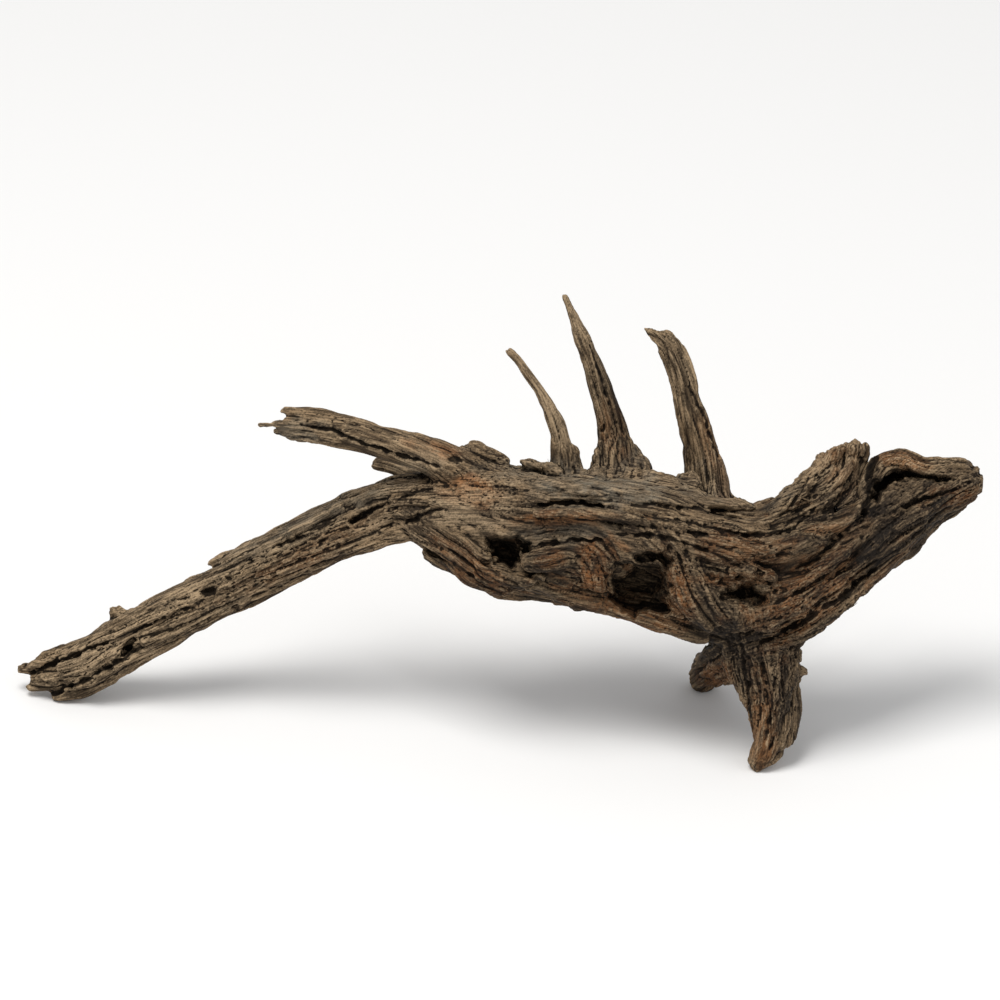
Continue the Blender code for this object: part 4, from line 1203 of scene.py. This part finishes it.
def noise_node(tree, vector, scale, detail, roughness, distortion=0.0):
    """A noise texture's value."""
    node = tree.nodes.new("ShaderNodeTexNoise")
    linked(tree, node.inputs["Vector"], vector)
    for label, given in (("Scale", scale), ("Detail", detail), ("Roughness", roughness),
                         ("Distortion", distortion)):
        linked(tree, node.inputs[label], given)
    return node.outputs["Fac"]


def blended_colour(tree, share, first, second):
    """Two colours mixed."""
    node = tree.nodes.new("ShaderNodeMix")
    node.data_type = "RGBA"
    linked(tree, node.inputs["Factor"], share)
    linked(tree, node.inputs[6], first)
    linked(tree, node.inputs[7], second)
    return node.outputs[2]


def grain_specks_group():
    """Fine grain of dry wood: specks, soft blotches and a height for the bump."""
    group, given, result = group_shell(
        "dry wood specks",
        (("Place", "NodeSocketVector", None), ("Grain", "NodeSocketVector", None),
         ("Speck scale", "NodeSocketFloat", 1300.0), ("Blotch scale", "NodeSocketFloat", 130.0),
         ("Fibre scale", "NodeSocketFloat", 1500.0)),
        (("Specks", "NodeSocketFloat"), ("Blotches", "NodeSocketFloat"), ("Height", "NodeSocketFloat")))
    specks = noise_node(group, given.outputs["Place"], given.outputs["Speck scale"], 4.0, 0.7)
    blotches = noise_node(group, given.outputs["Place"], given.outputs["Blotch scale"], 4.0, 0.6, 0.4)
    long_grain = group.nodes.new("ShaderNodeVectorMath")
    long_grain.operation = "MULTIPLY"
    linked(group, long_grain.inputs[0], given.outputs["Grain"])
    long_grain.inputs[1].default_value = (0.05, 1.0, 1.0)
    fibres = noise_node(group, long_grain.outputs[0], given.outputs["Fibre scale"], 3.0, 0.6)
    mixed = calculated(group, "ADD", calculated(group, "MULTIPLY", specks, 0.4),
                       calculated(group, "MULTIPLY", fibres, 0.6))
    linked(group, result.inputs["Specks"], spread(group, mixed, 0.36, 0.64))
    linked(group, result.inputs["Blotches"], spread(group, blotches, 0.32, 0.68))
    linked(group, result.inputs["Height"], mixed)
    return group


def weathering_group():
    """Colour of weathered wood from its marks and stains, with painted shade in cracks and hollows, painted
    highlight on what stands out, and painted light from above.
    """
    colours = ("Light", "Deep", "Rust", "Stain", "Pale", "Grey", "Crevice shade")
    masks = ("Tone and top light", "Crack shade", "Wear and highlight", "Streak", "Rusted", "Stained", "Bleached", "Greyed", "Specks",
             "Blotches")
    group, given, result = group_shell(
        "weathered colour",
        [(label, "NodeSocketColor", None) for label in colours]
        + [(label + " mask", "NodeSocketFloat", 0.0) for label in masks],
        (("Color", "NodeSocketColor"),))

    def mask(label):
        return given.outputs[label + " mask"]

    def colour(label):
        return given.outputs[label]

    def share_of(label, amount):
        return calculated(group, "MULTIPLY", mask(label), amount)

    toned = calculated(group, "ADD", share_of("Tone and top light", 0.75), share_of("Streak", 0.5))
    base = blended_colour(group, spread(group, toned, *TONE_RANGE), colour("Deep"), colour("Light"))
    greyed = share_of("Greyed", spread(group, mask("Blotches"), *GREY_BREAKS))
    base = blended_colour(group, calculated(group, "MULTIPLY", greyed, 0.75), base, colour("Grey"))
    ragged = spread(group, calculated(group, "ADD", mask("Streak"), mask("Blotches")), *RUST_BREAKS)
    base = blended_colour(group, share_of("Rusted", ragged), base, colour("Rust"))
    bleached = share_of("Bleached", spread(group, mask("Tone and top light"), *BLEACH_BREAKS))
    base = blended_colour(group, bleached, base, colour("Pale"))
    # Edge wear and painted highlight: what stands out turns pale
    wear_and_highlight = share_of("Wear and highlight", spread(group, mask("Specks"), *WEAR_AND_HIGHLIGHT_BREAKS))
    base = blended_colour(group, wear_and_highlight, base, colour("Pale"))
    stained = share_of("Stained", spread(group, mask("Tone and top light"), *STAIN_BREAKS))
    base = blended_colour(group, stained, base, colour("Stain"))
    # Painted highlight: worn ridges are lightened once more towards the light strands
    rubbed_and_highlit = calculated(group, "MULTIPLY", wear_and_highlight, 0.55)
    base = blended_colour(group, rubbed_and_highlit, base, colour("Light"))
    # Painted shade: cracks and hollows are darkened towards the crevice colour
    cracked = calculated(group, "MULTIPLY", spread(group, mask("Crack shade"), *CRACK_SHADE_RANGE), 0.94)
    base = blended_colour(group, cracked, base, colour("Crevice shade"))
    speckled = group.nodes.new("ShaderNodeVectorMath")
    speckled.operation = "SCALE"
    linked(group, speckled.inputs[0], base)
    linked(group, speckled.inputs["Scale"], spread(group, mask("Specks"), *SPECK_BRIGHTNESS))
    linked(group, result.inputs["Color"], speckled.outputs[0])
    return group


def wood_material(name, colours, rough_low, rough_high, bump):
    """Dry driftwood: streaked, stained and cracked by its marks, with painted shade in cracks and hollows,
    painted highlight on what stands out, specks and a fine bump.
    """
    dull, bump_distance = 0.14, 0.25 * MM
    wood = bpy.data.materials.new(name)
    wood.use_nodes = True
    tree = wood.node_tree
    shader = tree.nodes["Principled BSDF"]
    place = tree.nodes.new("ShaderNodeTexCoord").outputs["Object"]
    specks = tree.nodes.new("ShaderNodeGroup")
    specks.node_tree = bpy.data.node_groups.get("dry wood specks") or grain_specks_group()
    linked(tree, specks.inputs["Place"], place)
    own = tree.nodes.new("ShaderNodeAttribute")
    own.attribute_name = "grain_place"
    linked(tree, specks.inputs["Grain"], own.outputs["Vector"])
    weather = tree.nodes.new("ShaderNodeGroup")
    weather.node_tree = bpy.data.node_groups.get("weathered colour") or weathering_group()
    for label, layer in (("wood_marks_and_painted_light", ("Tone and top light", "Crack shade", "Wear and highlight", "Streak")),
                         ("wood_stains", ("Rusted", "Stained", "Bleached", "Greyed"))):
        attribute = tree.nodes.new("ShaderNodeAttribute")
        attribute.attribute_name = label
        parts = tree.nodes.new("ShaderNodeSeparateColor")
        linked(tree, parts.inputs[0], attribute.outputs["Color"])
        sockets = list(parts.outputs) + [attribute.outputs["Alpha"]]
        for socket, mask in zip(sockets, layer):
            linked(tree, weather.inputs[mask + " mask"], socket)
        if label == "wood_marks_and_painted_light":
            crack_shade_mask = sockets[1]
    linked(tree, weather.inputs["Specks mask"], specks.outputs["Specks"])
    linked(tree, weather.inputs["Blotches mask"], specks.outputs["Blotches"])
    for label, colour in colours.items():
        weather.inputs[label].default_value = (*colour, 1)
    linked(tree, shader.inputs["Base Color"], weather.outputs["Color"])
    linked(tree, shader.inputs["Roughness"], spread(tree, crack_shade_mask, 0.0, 1.0, rough_low, rough_high))
    shader.inputs["Specular IOR Level"].default_value = dull
    bumped = tree.nodes.new("ShaderNodeBump")
    bumped.inputs["Strength"].default_value = bump
    bumped.inputs["Distance"].default_value = bump_distance
    linked(tree, bumped.inputs["Height"], specks.outputs["Height"])
    linked(tree, shader.inputs["Normal"], bumped.outputs["Normal"])
    return wood


def wood_colours(colours):
    """The colours that a user can change, by the weathering's names."""
    return {"Light": colours.light, "Deep": colours.deep, "Rust": colours.rust, "Stain": colours.stain,
            "Pale": colours.pale, "Grey": colours.grey, "Crevice shade": colours.crevice_shade}


def part_pieces(names):
    """Parts the named pieces from the whole skin, and gives them their finish."""
    skin = bpy.data.meshes.get(WHOLE)
    if skin is None:
        raise RuntimeError("grow the skin first")
    if not LABELS:
        labels, kinds = nearest_nodes(skin)
        one, other = face_pairs(skin)
        LABELS["labels"] = tidied_labels(labels, one, other, len(kinds))
        LABELS["kinds"] = kinds
    for name in names:
        node, slot, line_names = PIECES[name]
        kind = LABELS["kinds"].index(name)
        mesh = parted_skin(skin, LABELS["labels"], kind, name + "_wood", line_names)
        piece = bpy.data.objects.new(name + "_wood", mesh)
        bpy.context.scene.collection.objects.link(piece)
        looks = bpy.data.materials.get("weathered_" + slot)
        if looks is None:
            colours = wood_colours(bpy.context.scene.driftwood_colours)
            looks = wood_material("weathered_" + slot, colours, *SLOT_LOOKS[slot])
        mesh.materials.append(looks)
        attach(piece, "root")
        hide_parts(node)
        print(name, "triangles", sum(len(face.vertices) - 2 for face in mesh.polygons))


def fibre_tree():
    """Nodes that strew frayed fibres over the rough wood, along its grain."""
    tree = bpy.data.node_groups.new("frayed fibres", "GeometryNodeTree")
    inputs = (("Skin", "NodeSocketObject", None), ("Density", "NodeSocketFloat", 9000.0),
              ("Length", "NodeSocketFloat", 0.0034), ("Thickness", "NodeSocketFloat", 0.00026),
              ("Lift", "NodeSocketFloat", 0.04), ("Seed", "NodeSocketInt", 4),
              ("Finish", "NodeSocketMaterial", None))
    for label, kind, default in inputs:
        socket = tree.interface.new_socket(label, in_out="INPUT", socket_type=kind)
        if default is not None:
            socket.default_value = default
    tree.interface.new_socket("Fibres", in_out="OUTPUT", socket_type="NodeSocketGeometry")
    given, result = tree.nodes.new("NodeGroupInput"), tree.nodes.new("NodeGroupOutput")

    def node(kind, **sockets):
        made = tree.nodes.new(kind)
        for label, value in sockets.items():
            linked(tree, made.inputs[label.replace("_", " ")], value)
        return made

    def attribute(label, kind):
        made = tree.nodes.new("GeometryNodeInputNamedAttribute")
        made.data_type = kind
        made.inputs["Name"].default_value = label
        return made.outputs["Attribute"]

    skin = node("GeometryNodeObjectInfo", Object=given.outputs["Skin"])
    dense = tree.nodes.new("ShaderNodeMath")
    dense.operation = "MULTIPLY"
    linked(tree, dense.inputs[0], attribute("fray", "FLOAT"))
    linked(tree, dense.inputs[1], given.outputs["Density"])
    points = node("GeometryNodeDistributePointsOnFaces", Mesh=skin.outputs["Geometry"],
                  Density=dense.outputs[0], Seed=given.outputs["Seed"])
    lifted = tree.nodes.new("ShaderNodeVectorMath")
    lifted.operation = "MULTIPLY_ADD"
    linked(tree, lifted.inputs[0], points.outputs["Normal"])
    linked(tree, lifted.inputs[1], given.outputs["Lift"])
    linked(tree, lifted.inputs[2], attribute("grain_run", "FLOAT_VECTOR"))
    turn = node("FunctionNodeAlignRotationToVector", Vector=lifted.outputs[0])
    turn.axis = "Z"
    sides, segments = 5, 3
    thinnest, thickest = (0.6, 0.6, 0.35), (1.5, 1.2, 1.3)
    fibre = node("GeometryNodeMeshCone", Vertices=sides, Side_Segments=segments, Radius_Top=0.0,
                 Radius_Bottom=given.outputs["Thickness"], Depth=given.outputs["Length"])
    size = node("FunctionNodeRandomValue", Seed=given.outputs["Seed"])
    size.data_type = "FLOAT_VECTOR"
    size.inputs[0].default_value = thinnest
    size.inputs[1].default_value = thickest
    placed = node("GeometryNodeInstanceOnPoints", Points=points.outputs["Points"],
                  Instance=fibre.outputs["Mesh"], Rotation=turn.outputs["Rotation"])
    linked(tree, placed.inputs["Scale"], size.outputs["Value"])
    whole = node("GeometryNodeRealizeInstances", Geometry=placed.outputs["Instances"])
    finished = node("GeometryNodeSetMaterial", Geometry=whole.outputs["Geometry"],
                    Material=given.outputs["Finish"])
    linked(tree, result.inputs[0], finished.outputs["Geometry"])
    return tree


def frayed_fibres(finish):
    """One mesh of all the frayed fibres."""
    source = bpy.data.objects.new("skin_source", bpy.data.meshes[WHOLE])
    holder = bpy.data.objects.new("fibre_holder", bpy.data.meshes.new("fibre_holder"))
    for made in (source, holder):
        bpy.context.scene.collection.objects.link(made)
    nodes = holder.modifiers.new("fibres", "NODES")
    nodes.node_group = fibre_tree()
    for item in nodes.node_group.interface.items_tree:
        if item.in_out == "INPUT" and item.name in {"Skin", "Finish"}:
            nodes[item.identifier] = source if item.name == "Skin" else finish
    graph = bpy.context.evaluated_depsgraph_get()
    mesh = bpy.data.meshes.new_from_object(holder.evaluated_get(graph))
    for made in (source, holder):
        bpy.data.objects.remove(made)
    points, _ = read_points(mesh)
    low, high = np.array(CAD_BOX[0], np.float32), np.array(CAD_BOX[1], np.float32)
    write_points(mesh, np.clip(points, low, high))
    mesh.name = "frayed_fibres"
    return mesh


class DriftwoodSizes(bpy.types.PropertyGroup):
    """Sizes of the carving."""
    join_voxel: bpy.props.FloatProperty(
        name="Join grid", description="Grid on which the solids grow together", default=0.001, unit="LENGTH")
    form_voxel: bpy.props.FloatProperty(
        name="Form grid", description="Size of the faces that the larger forms are carved on",
        default=0.00065, unit="LENGTH")
    skin_voxel: bpy.props.FloatProperty(
        name="Skin grid", description="Size of the skin's faces", default=0.00052, unit="LENGTH")
    fork_swell: bpy.props.FloatProperty(
        name="Fork swell", description="Swelling that closes the forks, in millimetres", default=0.25)
    bundle_height: bpy.props.FloatProperty(
        name="Bundle height", description="Height of the thick strands, in millimetres", default=1.4)
    ledge_height: bpy.props.FloatProperty(
        name="Ledge height", description="Height of the broken layers, in millimetres", default=1.3)
    lump_height: bpy.props.FloatProperty(
        name="Lump height", description="Height of the ragged lumps, in millimetres", default=1.1)
    crack_depth: bpy.props.FloatProperty(
        name="Crack depth", description="Share of the full depth of the cracks", default=1.0)
    strand_height: bpy.props.FloatProperty(
        name="Strand height", description="Height of the fine strands, in millimetres", default=0.27)
    fibre_height: bpy.props.FloatProperty(
        name="Fibre height", description="Height of the fibres, in millimetres", default=0.17)
    check_depth: bpy.props.FloatProperty(
        name="Check depth", description="Depth of the drying checks, in millimetres", default=0.6)


def colour_property(label, description, value):
    """A colour that a user can change."""
    return bpy.props.FloatVectorProperty(
        name=label, description=description, default=value, size=3, min=0, max=1, subtype="COLOR")


class DriftwoodColours(bpy.types.PropertyGroup):
    """Colours of the wood."""
    light: colour_property("Light wood", "Light strands", (0.19, 0.129, 0.073))
    deep: colour_property("Deep wood", "Deep strands", (0.034, 0.021, 0.011))
    rust: colour_property("Rust", "Orange-brown fresh wood", (0.21, 0.088, 0.03))
    stain: colour_property("Stain", "Dark wet stain", (0.0125, 0.009, 0.0065))
    pale: colour_property("Pale", "Worn and bleached wood, and painted highlight", (0.36, 0.268, 0.168))
    grey: colour_property("Grey", "Silvered wood", (0.15, 0.13, 0.098))
    crevice_shade: colour_property("Crevice shade", "Painted shade inside cracks", (0.007, 0.0048, 0.003))


class DriftwoodStage(bpy.types.PropertyGroup):
    """The studio."""
    floor_colour: colour_property("Floor", "Pale studio floor", (0.9, 0.9, 0.9))
    key_power: bpy.props.FloatProperty(name="Key light", description="Power of the key light", default=34.0,
                                       unit="POWER")
    fill_power: bpy.props.FloatProperty(name="Fill light", description="Power of the fill light", default=4.0,
                                        unit="POWER")
    world_strength: bpy.props.FloatProperty(name="Room light", description="Strength of the room's light",
                                            default=0.5)
    camera_distance: bpy.props.FloatProperty(name="Camera distance", description="From the root's middle",
                                             default=5.5556, unit="LENGTH")


class DRIFTWOOD_OT_skin(bpy.types.Operator):
    """Grow the whole root's skin and carve its grain"""
    bl_idname = "driftwood.skin"
    bl_label = "Grow and carve the skin"

    def execute(self, context):
        grow_skin(context.scene.driftwood_sizes)
        return {"FINISHED"}


class DRIFTWOOD_OT_trunk(bpy.types.Operator):
    """Part the trunk and its burl knob from the skin"""
    bl_idname = "driftwood.trunk"
    bl_label = "Trunk and knob"

    def execute(self, context):
        part_pieces(("trunk", "trunk_middle", "trunk_right", "burl_knob"))
        return {"FINISHED"}


class DRIFTWOOD_OT_limbs(bpy.types.Operator):
    """Part the long limb, the split branch and the twig stub from the skin"""
    bl_idname = "driftwood.limbs"
    bl_label = "Limb and branches"

    def execute(self, context):
        part_pieces(("long_limb", "split_branch", "twig_stub"))
        return {"FINISHED"}


class DRIFTWOOD_OT_spikes(bpy.types.Operator):
    """Part the three spikes from the skin"""
    bl_idname = "driftwood.spikes"
    bl_label = "Spikes"

    def execute(self, context):
        part_pieces(("left_spike", "middle_spike", "right_spike"))
        return {"FINISHED"}


class DRIFTWOOD_OT_dark_end(bpy.types.Operator):
    """Part the snout, the front foot and the back toe from the skin"""
    bl_idname = "driftwood.dark_end"
    bl_label = "Snout and feet"

    def execute(self, context):
        part_pieces(("snout", "front_foot", "back_toe"))
        return {"FINISHED"}


class DRIFTWOOD_OT_fibres(bpy.types.Operator):
    """Strew frayed fibres over the rough wood"""
    bl_idname = "driftwood.fibres"
    bl_label = "Frayed fibres"

    def execute(self, context):
        finish = bpy.data.materials.get("weathered_limb_wood")
        if finish is None:
            raise RuntimeError("part the limbs first")
        mesh = frayed_fibres(finish)
        if not mesh.vertices:
            raise RuntimeError("no fibre grew")
        fibres = bpy.data.objects.new("frayed_fibres", mesh)
        context.scene.collection.objects.link(fibres)
        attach(fibres, "root")
        print("fibres triangles", sum(len(face.vertices) - 2 for face in mesh.polygons))
        return {"FINISHED"}


def area_light(name, place, target, size, power, colour):
    """Adds a soft square light that faces a target."""
    lamp = bpy.data.lights.new(name, "AREA")
    lamp.size = size
    lamp.energy = power
    lamp.color = colour
    made = bpy.data.objects.new(name, lamp)
    bpy.context.scene.collection.objects.link(made)
    made.visible_camera = False
    made.location = place
    made.rotation_mode = "QUATERNION"
    made.rotation_quaternion = (Vector(target) - Vector(place)).to_track_quat("-Z", "Y")


# The studio, in metres: half the floor's side, what the lights face, and where they stand
FLOOR_HALF = 4.0
LIT_PLACE = (0.0, 0.0, 0.08)
KEY_PLACE = (-0.45, -0.45, 2.1)
FILL_PLACE = (1.4, -0.8, 1.1)
KEY_SIZE = 1.0
FILL_SIZE = 1.2
KEY_COLOUR = (1.0, 0.985, 0.96)
FILL_COLOUR = (0.97, 0.985, 1.0)
# The camera: what it looks at, in metres, and its lens and film, in mm
CAMERA_TARGET = Vector((1.0, 14.1, 95.4)) * MM
LENS = 500
FILM_WIDTH = 36
NEAREST_SEEN = 0.1
FARTHEST_SEEN = 40


class DRIFTWOOD_OT_stage(bpy.types.Operator):
    """Set the floor, the lights and the camera"""
    bl_idname = "driftwood.stage"
    bl_label = "Stage"

    def execute(self, context):
        scene, stage = context.scene, context.scene.driftwood_stage
        half = FLOOR_HALF
        mesh = bpy.data.meshes.new("floor")
        mesh.from_pydata([(-half, -half, 0), (half, -half, 0), (half, half, 0), (-half, half, 0)], [],
                         [(0, 1, 2, 3)])
        floor = bpy.data.objects.new("floor", mesh)
        scene.collection.objects.link(floor)
        paint = bpy.data.materials.new("floor_paint")
        paint.use_nodes = True
        shader = paint.node_tree.nodes["Principled BSDF"]
        shader.inputs["Base Color"].default_value = (*stage.floor_colour, 1)
        shader.inputs["Roughness"].default_value = 0.9
        shader.inputs["Specular IOR Level"].default_value = 0.1
        mesh.materials.append(paint)
        area_light("key_light", KEY_PLACE, LIT_PLACE, KEY_SIZE, stage.key_power, KEY_COLOUR)
        area_light("fill_light", FILL_PLACE, LIT_PLACE, FILL_SIZE, stage.fill_power, FILL_COLOUR)
        world = bpy.data.worlds.new("studio")
        world.use_nodes = True
        world.node_tree.nodes["Background"].inputs["Color"].default_value = (1, 1, 1, 1)
        world.node_tree.nodes["Background"].inputs["Strength"].default_value = stage.world_strength
        scene.world = world
        scene.view_settings.view_transform = "Standard"
        camera = bpy.data.objects.new("camera", bpy.data.cameras.new("camera"))
        scene.collection.objects.link(camera)
        camera.data.lens = LENS
        camera.data.sensor_width = FILM_WIDTH
        camera.data.clip_start, camera.data.clip_end = NEAREST_SEEN, FARTHEST_SEEN
        back = Vector((0, -math.cos(LEAN), math.sin(LEAN)))
        camera.rotation_mode = "QUATERNION"
        camera.location = CAMERA_TARGET + back * stage.camera_distance
        camera.rotation_quaternion = (-back).to_track_quat("-Z", "Y")
        scene.camera = camera
        return {"FINISHED"}


class DRIFTWOOD_PT_panel(bpy.types.Panel):
    """Lists the steps that build the root"""
    bl_label = "Driftwood"
    bl_idname = "DRIFTWOOD_PT_panel"
    bl_space_type = "VIEW_3D"
    bl_region_type = "UI"
    bl_category = "Driftwood"

    def draw(self, context):
        for step in STEPS:
            self.layout.operator(step.bl_idname)
        for group in ("driftwood_sizes", "driftwood_colours", "driftwood_stage"):
            box = self.layout.box()
            values = getattr(context.scene, group)
            for label in values.bl_rna.properties.keys():
                if label not in {"rna_type", "name"}:
                    box.prop(values, label)


STEPS = (DRIFTWOOD_OT_skin, DRIFTWOOD_OT_trunk, DRIFTWOOD_OT_limbs, DRIFTWOOD_OT_spikes,
         DRIFTWOOD_OT_dark_end, DRIFTWOOD_OT_fibres, DRIFTWOOD_OT_stage)
GROUPS = {"driftwood_sizes": DriftwoodSizes, "driftwood_colours": DriftwoodColours,
          "driftwood_stage": DriftwoodStage}


def register():
    """Adds the classes and their settings."""
    for part in (*GROUPS.values(), *STEPS, DRIFTWOOD_PT_panel):
        bpy.utils.register_class(part)
    for name, group in GROUPS.items():
        setattr(bpy.types.Scene, name, bpy.props.PointerProperty(type=group))


def unregister():
    """Takes them away again."""
    for name in GROUPS:
        delattr(bpy.types.Scene, name)
    for part in reversed((*GROUPS.values(), *STEPS, DRIFTWOOD_PT_panel)):
        bpy.utils.unregister_class(part)


def main():
    """Builds the root and its stage."""
    register()
    bpy.ops.driftwood.skin()
    bpy.ops.driftwood.trunk()
    bpy.ops.driftwood.limbs()
    bpy.ops.driftwood.spikes()
    bpy.ops.driftwood.dark_end()
    bpy.ops.driftwood.fibres()
    bpy.ops.driftwood.stage()


if __name__ == "__main__":
    main()
